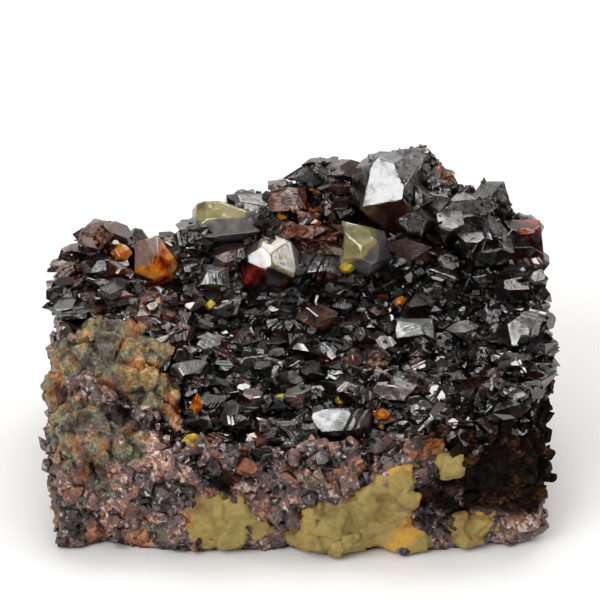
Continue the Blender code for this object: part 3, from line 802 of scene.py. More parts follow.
def crust_look(point, radius, chance):
    """Warmth, darkness and material of a crust crystal."""
    warm = chance.random() ** 2.0 * 0.66
    if point.x < -17 * MM and chance.random() < 0.4:
        warm += 0.40 * chance.random()
    stain = max(near(point, x, y, z, reach) * share for x, y, z, reach, share in STAINS)
    warm = min(1.0, warm + stain * chance.uniform(0.4, 1.6))
    clear = 0.75 if radius < 1.1 * MM else 0.0
    if not clear:
        warm = min(warm, 0.74)
    return warm, 0.0, 1 if warm > 0.66 and chance.random() < clear else 0


print("stained places:", len(STAINS))

# %% [markdown]
# With sizes and looks settled, the three layers are grown over the solid model's crust.

# %% Growing the crust
crust_source = nodes["crystal_crust"]
blocks = fill(crust_source, 9000, 20, block_size, 0.60)
medium = fill(crust_source, 20000, 21, medium_size, 0.60)
fine = fill(crust_source, 12000, 23, fine_size, 1.3, reach=1.0 * MM)
grow("crust_blocks", "dark_sphalerite", blocks, LARGE_SHAPES, 24, crust_look, (DARK, GEM), lie=0.7)
grow("crust_crystals", "dark_sphalerite", medium, LARGE_SHAPES, 22, crust_look, (DARK, GEM), lie=0.75)
grow("crust_glitter", "dark_sphalerite", fine, SMALL_SHAPES, 25, crust_look, (DARK, GEM), sink=(0.2, 0.9))

# %% [markdown]
# ## The larger crystals
#
# The solid model already holds the larger crystals, so its own meshes are used. A copy has its doubled corners
# merged and its flat triangles joined to whole faces. Then each edge gets a hair-thin bevel: even a razor-sharp
# crystal edge is a little rounded, and that bevel is what draws the bright lines along the edges. Last, every
# point is shifted by up to about a tenth of a millimetre, because no real face is quite flat.
#
# That shift is Blender's vector noise. Its pattern follows the clock unless a seed is set, so one is set first:
# the specimen has to come out the same every time.

# %% Bevels and wear
noise.seed_set(1)


def bevel_edges(form, width, least=12.0):
    """Rounds the edges that turn by more than a few degrees."""
    sharp = [edge for edge in form.edges if edge.is_manifold and edge.calc_face_angle(0.0) > math.radians(least)]
    bmesh.ops.bevel(
        form, geom=sharp, offset=width, segments=2, profile=0.5, affect="EDGES", clamp_overlap=True, material=-1
    )


def wear(form, spacing, depth, seed):
    """Cuts the faces finely and shifts every point a little, so that edges look chipped and faces uneven."""
    bmesh.ops.triangulate(form, faces=form.faces[:])
    for _ in range(6):
        long_edges = [edge for edge in form.edges if edge.calc_length() > spacing]
        if not long_edges:
            break
        bmesh.ops.subdivide_edges(form, edges=long_edges, cuts=1)
        bmesh.ops.triangulate(form, faces=[face for face in form.faces if len(face.verts) > 3])
    shift = Vector((seed * 1.7, seed * 0.9, 0.0))
    for vert in form.verts:
        broad = noise.noise_vector(vert.co / (1.9 * MM) + shift) * 1.6
        small = noise.noise_vector(vert.co / (0.6 * MM) + shift) * 0.6
        vert.co += (broad + small) * depth


def smooth_faces(mesh, angle=24.0):
    """Smooth shading that keeps the edges between faces sharp."""
    mesh.shade_smooth()
    mesh.set_sharp_from_angle(angle=math.radians(angle))


print("vector noise, the same each time:", [round(part, 3) for part in noise.noise_vector(Vector((0.3, 0.4, 0.5)))])

# %% [markdown]
# A finished copy then stands for its node. The two large nodes, the crown and the crust itself, are dressed so.
# The crust's own surface shows only in the gaps between its crystals, so it is cut less finely.

# %% Finished copies of nodes
def faceted_copy(node_name, name, slot, material, bevel, terraces, seed, worn, spacing=0.55 * MM):
    """A finished copy of a crystal node that stands for it."""
    form = bmesh.new()
    form.from_mesh(nodes[node_name].data)
    bmesh.ops.remove_doubles(form, verts=form.verts[:], dist=0.002 * MM)
    bmesh.ops.dissolve_limit(form, angle_limit=math.radians(3.0), verts=form.verts[:], edges=form.edges[:])
    add_terraces(form, random.Random(seed), terraces, 0.14 * MM, (0.04, 0.12))
    bevel_edges(form, bevel)
    wear(form, spacing, worn, seed)
    mesh = finished_mesh(form, name)
    smooth_faces(mesh)
    count = len(mesh.polygons)
    label(mesh, "FACE", crystal=[seed * 0.37 % 1.0] * count, warm=[0.26] * count)
    mesh.materials.append(material)
    print(name + ":", count, "faces")
    return link(name, mesh, slot, node_name)


faceted_copy("crown_cluster", "crown_dressed", "dark_sphalerite", CROWN_DARK, 0.05 * MM, 14, 3, 0.07 * MM)
faceted_copy("crystal_crust", "crust_dressed", "dark_sphalerite", DARK, 0.03 * MM, 0, 4, 0.05 * MM, 1.1 * MM)

# %% [markdown]
# Younger, smaller crystals sit in the notches of the crown and along its back edge, where they are brown.

# %% Small crystals on the crown
def crown_size(point, normal, chance):
    """Radius of a small crystal on the crown, or None."""
    back = near(point, 22.0, 13.0, 41.0, 6.0)
    if back < 0.1 and chance.random() < 0.93:
        return None
    return chance.uniform(0.35, 0.9 if back else 0.7) * MM


def crown_look(point, radius, chance):
    """Warmth, darkness and material of a small crystal on the crown."""
    warm = 0.45 * chance.random() + 0.7 * near(point, 22.0, 13.0, 41.0, 7.0)
    return min(1.0, warm), 0.0, 1 if warm > 0.75 and chance.random() < 0.4 else 0


crown_places = fill(nodes["crown_cluster"], 2600, 61, crown_size, 0.60, reach=1.0 * MM)
grow("crown_growth", "dark_sphalerite", crown_places, LARGE_SHAPES, 62, crown_look, (DARK, GEM))

# %% [markdown]
# The crystals that catch the eye are cut afresh, plane by plane, so that each shows the faces it should: every
# plane is a compass bearing, a tilt above the horizon and a distance from the centre. A face that is to shine
# has to look half-way between the lamp and the eye, which for the lamp at the front left is a bearing of about
# 250 degrees and a tilt of about 35. One side of a crystal can be marked as a zone of another colour.

# %% Cutting single crystals
def heading(bearing, tilt):
    """The direction at a compass bearing from +X and a tilt above the horizon."""
    b, t = math.radians(bearing), math.radians(tilt)
    return Vector((math.cos(t) * math.cos(b), math.cos(t) * math.sin(b), math.sin(t)))


def cut_single(
    name, slot, material, centre, size, planes, terraces, seed, zone=None, worn=0.05, stripes=(), replaced=()
):
    """A crystal cut from (bearing, tilt, distance) planes.

    zone is the bearing and tilt of the side that is marked, and where it starts. stripes are the levels of
    narrow grooves across the crystal.
    """
    form = slice_planes([(heading(bearing, tilt), distance) for bearing, tilt, distance in planes])
    for level in stripes:
        cut_levels(form, heading(345, -12), ((level - 0.05, 1.0), (level + 0.05, 1.0), (level, 0.90)))
    add_terraces(form, random.Random(seed), terraces, 0.025, (0.05, 0.10))
    placing = Matrix.Translation(centre) @ Matrix.Diagonal((*(side * MM for side in size), 1.0))
    bmesh.ops.transform(form, matrix=placing, verts=form.verts[:])
    bevel_edges(form, 0.10 * MM)
    wear(form, 0.45 * MM, worn * MM, seed)
    mesh = finished_mesh(form, name)
    smooth_faces(mesh)
    count = len(mesh.polygons)
    # Faces that look down get more warmth: a painted red-brown glow, as of light coming through the crystal.
    warmth = [0.28 if polygon.normal.z > -0.1 else 0.55 for polygon in mesh.polygons]
    label(mesh, "FACE", crystal=[seed * 0.37 % 1.0] * count, warm=warmth)
    if zone:
        toward, start = heading(*zone[:2]), zone[2]
        reach = [(vert.co - centre).dot(toward) / (max(size) * MM) for vert in mesh.vertices]
        label(mesh, "POINT", zone=[min(1.0, max(0.0, (r - start) / 0.25)) for r in reach])
    mesh.materials.append(material)
    print(name + ":", count, "faces")
    return link(name, mesh, slot, *replaced)


def middle(node_name):
    """The centre of a solid-model node's box."""
    low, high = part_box(node_name)
    return (low + high) / 2


print("a face shines that looks to", [round(part, 2) for part in heading(252, 34)])

# %% [markdown]
# Four of them are coloured. The amber one is pinkish grey at its upper left, which faces the front-left lamp:
# cracks scatter the light there, and the pale zone also paints the lamp's reflection. The red one is nearly
# black with a red glow in places, and pale at its upper right. The two olive ones are cloudy grey with an olive
# yellow zone above. Each takes the place and the size of the solid model's simpler one.

# %% The coloured crystals
cut_single("amber_dressed", "amber_sphalerite", AMBER, middle("amber_crystal"), (3.6, 3.6, 3.6), (
    (230, 38, 0.70), (264, 4, 0.78), (300, 24, 0.76), (335, -4, 0.80), (20, 30, 0.82), (250, -38, 0.80),
    (305, -40, 0.80), (185, 5, 0.80), (100, 40, 0.85), (90, -20, 0.9), (262, 60, 0.82), (200, -30, 0.85),
    (330, 45, 0.80),
), 3, 7, zone=(205, 55, 0.40), replaced=("amber_crystal",))
cut_single("red_brown_dressed", "red_sphalerite", RED, middle("red_brown_crystal"), (4.9, 4.6, 4.9), (
    (247, 34, 0.77), (309, 37, 0.69), (345, 22, 0.80), (345, -5, 0.84), (282, -6, 0.71), (238, -8, 0.74),
    (196, 6, 0.86), (200, 55, 0.86), (262, -46, 0.78), (320, -38, 0.80), (296, 62, 0.76), (60, 40, 0.78),
    (130, 45, 0.8), (90, -10, 0.9),
), 0, 8, zone=(325, 50, 0.30), worn=0.03, replaced=("red_brown_crystal",))
cut_single("olive_left_dressed", "olive_sphalerite", OLIVE, middle("olive_crystal_left"), (5.9, 4.2, 3.6), (
    (266, 14, 0.58), (258, 50, 0.66), (186, 12, 0.88), (216, 34, 0.80), (330, 34, 0.84), (350, 5, 0.95),
    (280, -40, 0.66), (90, 40, 0.7), (90, -10, 0.8), (170, -30, 0.8), (30, 60, 0.72),
), 0, 9, zone=(240, 72, 0.20), worn=0.06, replaced=("olive_crystal_left",))
cut_single("olive_right_dressed", "olive_sphalerite", OLIVE, middle("olive_crystal_right"), (4.4, 4.0, 4.1), (
    (236, 22, 0.74), (284, 22, 0.70), (322, 10, 0.72), (262, 54, 0.74), (200, 10, 0.84), (250, -30, 0.70),
    (312, -30, 0.74), (0, 20, 0.84), (90, 20, 0.85), (60, 60, 0.85), (330, 55, 0.78),
), 0, 10, zone=(205, 48, 0.16), worn=0.05, replaced=("olive_crystal_right",))

# %% [markdown]
# Two more stand for nodes of their own: a long striped one on the front rim, and a pale one at the right edge.
# Both are dark crystals that look pale only because they turn a face to the lamp.

# %% The crystals of the rim
cut_single("grey_rim_dressed", "dark_sphalerite", DARK, middle("grey_rim_crystal"), (4.9, 3.3, 2.9), (
    (242, 32, 0.50), (262, -24, 0.60), (186, 10, 0.92), (350, 12, 0.86), (214, -10, 0.80), (300, -14, 0.80),
    (90, 50, 0.62), (90, 0, 0.80), (320, 50, 0.78), (200, 50, 0.84), (270, -70, 0.60),
), 0, 5, worn=0.02, stripes=(0.22, 0.46), replaced=("grey_rim_crystal",))
cut_single("pale_edge_dressed", "dark_sphalerite", CROWN_DARK, middle("pale_edge_crystal"), (2.9, 2.9, 3.4), (
    (254, 38, 0.50), (205, 8, 0.66), (330, 16, 0.76), (80, 30, 0.70), (90, -20, 0.80), (262, -35, 0.70),
    (300, 66, 0.70), (140, 50, 0.78), (0, -30, 0.80), (200, -40, 0.74),
), 0, 6, worn=0.04, replaced=("pale_edge_crystal",))

# %% [markdown]
# The great crystal stands out a little from the crown's cluster, with its brightest face turned to the light.
# Four grey blocks, on the wall below the crest and in the basin, break the even size of the crust, and a dark
# red one lies at its right end.

# %% The great crystal and the blocks
GREAT = middle("crown_cluster") + Vector((-7.1, 0.0, 2.6)) * MM
cut_single("great_crystal", "dark_sphalerite", CROWN_DARK, GREAT, (6.5, 6.2, 6.4), (
    (251, 33, 0.60), (197, 22, 0.68), (178, 44, 0.80), (268, -26, 0.68), (322, 16, 0.72), (285, 74, 0.82),
    (30, 40, 0.74), (90, 50, 0.80), (120, 0, 0.85), (40, -30, 0.80), (205, -45, 0.80), (306, 46, 0.74),
), 0, 11, worn=0.07)
cut_single("grey_block", "dark_sphalerite", CROWN_DARK, Vector((-7.0, 11.4, 35.8)) * MM, (4.6, 3.0, 2.8), (
    (262, 30, 0.66), (215, 20, 0.84), (310, 24, 0.82), (350, 10, 0.90), (185, 0, 0.90), (265, -20, 0.80),
    (280, 70, 0.66), (90, 45, 0.74), (90, 0, 0.85), (230, 58, 0.80),
), 1, 12, worn=0.06)
cut_single("wall_block_left", "dark_sphalerite", CROWN_DARK, Vector((-13.3, 3.6, 27.9)) * MM, (3.4, 2.6, 2.7), (
    (216, 36, 0.60), (264, 36, 0.58), (318, 40, 0.70), (280, 80, 0.60), (185, 0, 0.85), (0, 5, 0.80),
    (265, -20, 0.75), (90, 40, 0.75), (90, -10, 0.85),
), 0, 22, worn=0.04)
cut_single("wall_block_middle", "dark_sphalerite", CROWN_DARK, Vector((2.9, 4.6, 29.4)) * MM, (3.9, 2.6, 2.5), (
    (246, 40, 0.58), (206, 30, 0.66), (312, 38, 0.64), (270, 78, 0.62), (185, -5, 0.85), (0, 5, 0.85),
    (265, -20, 0.70), (90, 40, 0.75), (90, -10, 0.85),
), 0, 23, worn=0.04, stripes=(-0.3, 0.1, 0.4))
cut_single("basin_wedge", "dark_sphalerite", CROWN_DARK, Vector((17.1, -2.8, 22.4)) * MM, (3.5, 2.3, 2.1), (
    (243, 30, 0.52), (205, 20, 0.80), (325, 30, 0.72), (270, 84, 0.66), (185, -5, 0.85), (0, 5, 0.85),
    (265, -20, 0.70), (90, 40, 0.75), (90, -10, 0.85),
), 0, 24, worn=0.04)
cut_single("red_block", "red_sphalerite", RED, Vector((33.0, 6.4, 33.4)) * MM, (4.3, 3.2, 3.2), (
    (262, 16, 0.62), (212, 34, 0.72), (318, 24, 0.74), (280, 76, 0.66), (185, 0, 0.82), (0, 5, 0.82),
    (265, -25, 0.75), (90, 40, 0.75), (90, -10, 0.85),
), 0, 25, worn=0.04)

# %% [markdown]
# Last come the spots of clear colour, one to four millimetres long: golden, amber and red ones between the
# black crystals. Each is a rhombic dodecahedron with a few corners cut off and its edges rounded.

# %% Clear beads
def bead(name, slot, material, centre, size, seed):
    """A small gemmy crystal of its own."""
    form = cut_crystal("dodecahedral", random.Random(seed), 0.06)
    placing = Matrix.Translation(Vector(centre) * MM) @ Matrix.Diagonal((*(side * MM for side in size), 1.0))
    bmesh.ops.transform(form, matrix=placing, verts=form.verts[:])
    bevel_edges(form, 0.10 * MM)
    mesh = finished_mesh(form, name)
    count = len(mesh.polygons)
    label(mesh, "FACE", crystal=[seed * 0.37 % 1.0] * count, warm=[0.9] * count)
    mesh.materials.append(material)
    return link(name, mesh, slot)


BEADS = (
    ("gold_bead", "amber_sphalerite", GOLD, (-14.9, -27.6, 18.0), (1.6, 1.4, 1.2), 12),
    ("small_amber", "amber_sphalerite", AMBER, (-26.7, 2.6, 32.6), (1.5, 1.5, 1.5), 13),
    ("yellow_spot", "olive_sphalerite", GOLD, (7.0, 4.2, 29.4), (1.4, 1.2, 1.2), 14),
    ("orange_wedge", "amber_sphalerite", AMBER, (-14.5, -22.0, 20.0), (1.2, 1.2, 2.2), 15),
    ("gold_strip", "amber_sphalerite", GOLD, (-2.4, -17.3, 19.0), (2.2, 0.9, 0.6), 17),
    ("gold_spot", "amber_sphalerite", GOLD, (5.9, -16.6, 18.2), (0.8, 0.8, 0.8), 18),
    ("olive_spot", "olive_sphalerite", GOLD, (-13.4, 0.2, 25.0), (0.9, 0.7, 0.9), 19),
    ("amber_spot", "amber_sphalerite", AMBER, (15.1, 1.4, 25.2), (0.9, 0.8, 0.9), 20),
    ("red_spot", "amber_sphalerite", AMBER, (11.6, -22.0, 19.0), (1.2, 0.9, 0.9), 21),
    ("red_window", "red_sphalerite", GEM, (33.8, 4.8, 35.1), (1.4, 0.7, 0.5), 16),
)
for name, slot, material, centre, size, seed in BEADS:
    bead(name, slot, material, centre, size, seed)
print("clear beads:", len(BEADS))

# %% [markdown]
# ## The rock
#
# The rock below the crust is a tight mosaic of broken minerals: dark sphalerite, purple-grey and brown
# carbonate, rust, and at the front left a weathered ochre shoulder. Its colours are four lists of tones, for the
# mosaic, the weathered parts, the dark parts, which are painted shade or dark rock, and the rust. Each grain has
# a number that picks its place on the list.

# %% Tones of the rock
MOSAIC_TONES = (
    (0.0, (0.006, 0.005, 0.005)), (0.20, (0.022, 0.016, 0.016)), (0.32, (0.085, 0.064, 0.064)),
    (0.46, (0.15, 0.105, 0.10)), (0.58, (0.20, 0.14, 0.12)), (0.68, (0.18, 0.060, 0.033)),
    (0.78, (0.38, 0.26, 0.23)), (0.89, (0.42, 0.14, 0.040)), (1.0, (0.66, 0.52, 0.48)),
)
WEATHERED_TONES = (
    (0.06, (0.015, 0.008, 0.005)), (0.20, (0.070, 0.030, 0.014)), (0.30, (0.075, 0.068, 0.048)),
    (0.44, (0.14, 0.135, 0.092)), (0.55, (0.22, 0.20, 0.115)), (0.64, (0.33, 0.25, 0.09)),
    (0.74, (0.21, 0.075, 0.028)), (0.86, (0.38, 0.28, 0.10)), (1.0, (0.46, 0.38, 0.24)),
)
DEEP_TONES = (
    (0.0, (0.002, 0.0015, 0.001)), (0.40, (0.007, 0.004, 0.002)), (0.65, (0.026, 0.013, 0.007)),
    (0.85, (0.085, 0.042, 0.018)), (1.0, (0.20, 0.09, 0.03)),
)
RUST_TONES = (
    (0.1, (0.08, 0.012, 0.005)), (0.4, (0.26, 0.050, 0.010)), (0.6, (0.48, 0.17, 0.03)),
    (1.0, (0.60, 0.40, 0.22)),
)
print("tones:", len(MOSAIC_TONES) + len(WEATHERED_TONES) + len(DEEP_TONES) + len(RUST_TONES))

# %% [markdown]
# Two sizes of Voronoi cells stand for the grains. They are bent by noise, so that they look broken and not like
# cells. Each cell's random number picks its tone, and its random colour leans the normal, which makes it a small
# flat face of its own. The mesh says where the rock is weathered ("warm"), rusty ("rust") or dark ("dark"): the
# last is painted shade on the right end and between the boulders, and dark rock on the knots. Pale flecks, stains,
# and dirt with painted shade in the pits go over that.

# %% Finish: rock
def rock_finish(name, grains):
    """Mixed ore rock. In grains each piece's own number picks its tone; in the body bent cells do."""
    material, tree, shader = new_material(name)
    coords = add(tree, "TexCoord").outputs["Object"]
    ochre = attribute(tree, "warm")
    dark = attribute(tree, "dark")
    rust = attribute(tree, "rust")
    bend = {"Vector": coords, "Scale": 700.0, "Detail": 4.0, "Roughness": 0.65}
    bend = add(tree, "TexNoise", bend).outputs["Color"]
    bend = add(tree, "VectorMath", {0: bend, 1: (0.5, 0.5, 0.5)}, operation="SUBTRACT").outputs[0]
    bend = add(tree, "VectorMath", {0: bend, "Scale": 1.7 * MM}, operation="SCALE").outputs[0]
    bent = add(tree, "VectorMath", {0: coords, 1: bend}, operation="ADD").outputs[0]
    large_colour = add(tree, "TexVoronoi", {"Vector": bent, "Scale": 450.0}).outputs["Color"]
    small_colour = add(tree, "TexVoronoi", {"Vector": bent, "Scale": 1700.0}).outputs["Color"]
    large = add(tree, "SeparateColor", {0: large_colour}).outputs[0]
    small = add(tree, "SeparateColor", {0: small_colour}).outputs[1]
    pick = mix(tree, 0.45, large, small)
    region = clouded(tree, coords, 130.0, detail=3.0)
    pick = arith(tree, "ADD", pick, arith(tree, "MULTIPLY", arith(tree, "SUBTRACT", region, 0.5), 1.4))
    pick = spread(tree, pick, low=0.12, high=0.88)
    if grains:
        own = attribute(tree, "crystal")
        pick = mix(tree, 0.6, pick, own)
    patches = clouded(tree, coords, 240.0, detail=8.0, roughness=0.70)
    patches = spread(tree, patches, low=0.36, high=0.64)
    mosaic = ramp(tree, pick, MOSAIC_TONES)
    weathered = ramp(tree, mix(tree, 0.25, patches, pick), WEATHERED_TONES)
    deep = ramp(tree, pick, DEEP_TONES)
    # Where "dark" is high the tone goes nearly black: painted shade on the right end and between the boulders, dark
    # rock on the knots.
    tone = blend(tree, dark, blend(tree, ochre, mosaic, weathered), deep)
    speckle = clouded(tree, coords, 2600.0, detail=4.0, roughness=0.75)
    speckle = spread(tree, speckle, low=0.3, high=0.7, start=0.25, end=1.75)
    tone = add(tree, "VectorMath", {0: tone, "Scale": speckle}, operation="SCALE").outputs[0]
    fleck = add(tree, "TexVoronoi", {"Vector": bent, "Scale": 2400.0}).outputs["Color"]
    fleck = add(tree, "SeparateColor", {0: fleck}).outputs[2]
    fleck = spread(tree, fleck, low=0.935, high=0.965, end=0.8)
    covered = arith(tree, "MAXIMUM", dark, arith(tree, "MULTIPLY", ochre, 0.7))
    fleck = arith(tree, "MULTIPLY", fleck, arith(tree, "SUBTRACT", 1.0, covered))
    tone = blend(tree, fleck, tone, rgb(0.60, 0.50, 0.48))
    stain = clouded(tree, coords, 150.0, detail=6.0, roughness=0.68)
    stain = spread(tree, stain, low=0.57, high=0.68, end=0.7)
    tone = blend(tree, stain, tone, rgb(0.22, 0.065, 0.018))
    spot = arith(tree, "ADD", rust, arith(tree, "MULTIPLY", arith(tree, "SUBTRACT", patches, 0.5), 0.8))
    spot = spread(tree, spot, low=0.42, high=0.62, end=0.70)
    tone = blend(tree, spot, tone, ramp(tree, pick, RUST_TONES))
    # The crevice mask turns the pits nearly black: some dirt, and mostly painted shade.
    grime_and_shade = use_group(tree, crevice_dirt_and_shade, {"Vector": coords, "Amount": 0.35, "Reach": 1.8 * MM})["Mask"]
    tone = blend(tree, arith(tree, "MULTIPLY", grime_and_shade, 0.9), tone, rgb(0.010, 0.006, 0.004))
    tree.links.new(tone, shader.inputs["Base Color"])
    shine = spread(tree, pick, low=0.20, high=0.55, start=0.20, end=0.65)
    matt = arith(tree, "MULTIPLY", arith(tree, "MAXIMUM", ochre, dark), 0.35)
    shine = arith(tree, "ADD", shine, matt, clamp=True)
    tree.links.new(shine, shader.inputs["Roughness"])
    # Metallic where the rock is painted dark and in the crevice mask: a nearly black metal swallows light, which
    # deepens the painted shade.
    dark_and_shade_metal = arith(tree, "MAXIMUM", arith(tree, "MULTIPLY", dark, 0.75), grime_and_shade)
    tree.links.new(dark_and_shade_metal, shader.inputs["Metallic"])
    lean = blend(tree, 0.5, large_colour, small_colour)
    lean = add(tree, "VectorMath", {0: lean, 1: (0.5, 0.5, 0.5)}, operation="SUBTRACT").outputs[0]
    lean_by = spread(tree, ochre, start=1.5, end=0.35)
    lean = add(tree, "VectorMath", {0: lean, "Scale": lean_by}, operation="SCALE").outputs[0]
    facing = add(tree, "NewGeometry").outputs["Normal"]
    facet = add(tree, "VectorMath", {0: facing, 1: lean}, operation="ADD").outputs[0]
    facet = add(tree, "VectorMath", {0: facet}, operation="NORMALIZE").outputs[0]
    relief = clouded(tree, coords, 1500.0, detail=6.0, roughness=0.75)
    bump = add(tree, "Bump", {"Strength": 0.9, "Distance": 0.14 * MM, "Height": relief, "Normal": facet})
    tree.links.new(bump.outputs["Normal"], shader.inputs["Normal"])
    shader.inputs["IOR"].default_value = 1.75
    return material


ROCK = rock_finish("matrix_rock", grains=False)
GRAINS = rock_finish("matrix_grains", grains=True)
print("rock finishes:", len(ROCK.node_tree.nodes), "and", len(GRAINS.node_tree.nodes), "nodes")

# %% [markdown]
# The rock is not alike all over. A shoulder of rounded, weathered boulders stands at the front left with
# crevices between them that are painted dark as shade, the foot has streaks of ochre, and the right end is
# painted dark, as the shade that falls on it. Each is a list of places, given as centre and reach, and a
# function that tells how far a point belongs to it. A little noise in the functions frays the borders.

# %% Where the rock differs
BOULDERS = (
    (-27.6, -14.5, 24.0, 6.2), (-23.0, -16.5, 21.8, 4.6), (-31.8, -15.6, 24.4, 3.6), (-24.2, -12.0, 26.4, 2.6),
    (-29.4, -12.2, 27.4, 2.4), (-20.4, -14.6, 24.0, 2.6), (-26.2, -19.6, 23.6, 2.7), (-21.2, -19.2, 21.6, 2.6),
    (-34.6, -16.5, 19.6, 2.8), (-30.6, -23.6, 18.2, 3.4), (-27.4, -25.8, 16.6, 2.7), (-33.4, -22.0, 16.6, 2.6),
    (-24.0, -26.4, 16.4, 2.0), (-31.0, -24.8, 13.6, 2.4), (-18.4, -21.0, 19.8, 1.8),
)
# Crevices between the boulders, where the rock is painted nearly black as shade.
CREVICES = (
    (-29.6, -20.4, 21.6, 2.6), (-25.4, -23.2, 20.0, 2.8), (-21.0, -23.4, 18.6, 2.8), (-33.4, -19.0, 20.4, 2.2),
    (-18.6, -25.4, 17.2, 2.6), (-28.6, -27.2, 13.8, 1.8),
)
OCHRE_SPOTS = (
    (-35.0, -21.0, 9.0, 3.0), (-33.0, -25.5, 5.0, 2.8), (-27.0, -28.6, 11.0, 2.4), (-20.5, -29.2, 4.0, 2.4),
    (-32.0, -26.0, 12.0, 2.2), (2.0, -29.3, 12.5, 1.6),
)
DARK_KNOTS = (
    (-10.9, -30.2, 12.5, 3.4), (-1.5, -29.8, 14.2, 2.4), (17.8, -29.4, 10.0, 3.0), (20.4, -29.0, 9.0, 3.4),
)


def shoulder_share(point):
    """1 on the weathered boulders, 0 away from them."""
    wander = 0.9 * noise.noise(point / (2.2 * MM))
    reach = max(r + 1.1 + wander - (point / MM - Vector((x, y, z))).length for x, y, z, r in BOULDERS)
    return min(1.0, max(0.0, reach / 0.8))


def ochre_share(point):
    """1 on the boulders and in the ochre streaks of the foot."""
    streak = 2.0 * max(near(point, *spot) for spot in OCHRE_SPOTS) + 0.6 * noise.noise(point / (1.2 * MM)) - 0.3
    return max(shoulder_share(point), min(0.85, max(0.0, streak)))


def seam_rust(point):
    """Rust of the spots, and in the seams between the boulders."""
    return max(rust_share(point), 0.6 * crack(point, 4.2 * MM, 0.30) * shoulder_share(point))


def dark_and_shade_share(point):
    """1 on the right end of the front and in the crevices, as painted shade, and on dark knots; 0 elsewhere."""
    knot = max(near(point, *spot) for spot in CREVICES + DARK_KNOTS) + 0.25 * noise.noise(point / (1.4 * MM))
    if knot > 0.25:
        return min(1.0, 4.0 * (knot - 0.25))
    x, y, z = (c / MM for c in point)
    wander = 5.0 * noise.noise(point / (6 * MM))
    share = min(1.0, max(0.0, (x - 15.0 + wander) / 4.0)) * min(1.0, max(0.0, (z - 5.5 + 0.5 * wander) / 2.0))
    return share * min(1.0, max(0.0, (-y - 2.0) / 4.0))


print("boulders, crevices, dark knots:", len(BOULDERS), len(CREVICES), len(DARK_KNOTS))

# %% [markdown]
# Broken rock is made of flat faces at odd angles. Voronoi cells give that too: each cell of space gets a level
# and a slant of its own, and the surface is lifted to it. The weathered boulders have no such faces. They get
# seams instead, which follow the borders between cells.

# %% Chips and seams
def chip(point, size, lift, slope):
    """Height of flat chips: each cell of space has its own level and its own slant."""
    _, centres = noise.voronoi(point / size)
    centre = centres[0]
    key = centre * 37.3
    slant = Vector((noise.cell(key), noise.cell(key + Vector((7.1, 0, 0))), noise.cell(key + Vector((0, 7.1, 0)))))
    return lift * noise.cell(key + Vector((0, 0, 7.1))) + slope * slant.dot(point / size - centre)


def crack(point, size, width):
    """1 along the seams between rounded lumps of this size, 0 on them."""
    distances = noise.voronoi(point / size)[0]
    return max(0.0, 1.0 - (distances[1] - distances[0]) / width)


print("a chip at the front, mm:", round(chip(Vector((0.0, -29.0, 10.0)) * MM, 3.4 * MM, 0.34, 0.55), 2))

# %% [markdown]
# To be lifted in such detail a mesh needs small, even faces everywhere. The Remesh modifier in voxel mode makes
# them: it fills the form with small cubes and lays one closed skin around them, which also fuses parts that
# overlap. Then each point moves along its normal. Near the base it moves less, so that the specimen stands flat.

# %% Remesh and lift
def voxel_mesh(form, voxel):
    """A closed, even mesh around a bmesh, which is freed."""
    mesh = finished_mesh(form, "start")
    start = bpy.data.objects.new("start", mesh)
    bpy.context.scene.collection.objects.link(start)
    remesh = start.modifiers.new("even", "REMESH")
    remesh.mode = "VOXEL"
    remesh.voxel_size = voxel
    graph = bpy.context.evaluated_depsgraph_get()
    made = bpy.data.meshes.new_from_object(start.evaluated_get(graph))
    bpy.data.objects.remove(start)
    bpy.data.meshes.remove(mesh)
    return made


def push(mesh, lift_at):
    """Moves each point along its normal, with none left below the base plane."""
    normals = [vert.normal.copy() for vert in mesh.vertices]
    for vert, normal in zip(mesh.vertices, normals):
        held = min(1.0, max(0.0, vert.co.z / (1.0 * MM)))
        vert.co += normal * lift_at(vert.co) * held
        vert.co.z = max(vert.co.z, 0.0)


print("helpers: voxel_mesh, push")

# %% [markdown]
# The body is the solid model's own rock, with the boulders added as squashed spheres, and angular blocks that
# square off the two front corners of the foot. They are given as centre, half sides and turn.

# %% Rock body
ROCK_VOXEL = 0.45 * MM
CORNER_BLOCKS = (
    (-31.3, -23.9, 4.7, 3.9, 3.7, 4.5, 0.20), (-32.3, -21.6, 10.6, 3.1, 4.4, 4.6, -0.15),
    (-30.3, -25.4, 11.2, 3.6, 2.6, 4.2, 0.1), (-33.4, -18.6, 4.2, 2.2, 4.4, 4.0, 0.05),
    (31.0, -24.0, 4.4, 3.9, 3.6, 4.2, -0.2), (32.0, -21.0, 10.2, 3.1, 4.4, 4.8, 0.15),
    (29.9, -25.4, 11.0, 3.5, 2.5, 4.8, -0.1), (33.0, -18.0, 4.2, 2.2, 4.4, 4.0, -0.05),
)


def rock_lift(point):
    """How far the rock stands out or in at a point."""
    weathered = shoulder_share(point)
    sharp = chip(point, 3.4 * MM, 0.34, 0.55) + chip(point, 1.3 * MM, 0.17, 0.30)
    soft = noise.fractal(point / (2.0 * MM), 0.8, 2.0, 4) * 0.55 + 0.2 - 1.1 * crack(point, 4.2 * MM, 0.20)
    fine = noise.fractal(point / (0.9 * MM), 0.8, 2.0, 2) * 0.11
    return (sharp * (1 - weathered) + soft * weathered + fine) * MM


def join(form, block, placing):
    """Places a block and adds it to a form."""
    bmesh.ops.transform(block, matrix=placing, verts=block.verts[:])
    piece = bpy.data.meshes.new("block")
    block.to_mesh(piece)
    block.free()
    form.from_mesh(piece)
    bpy.data.meshes.remove(piece)


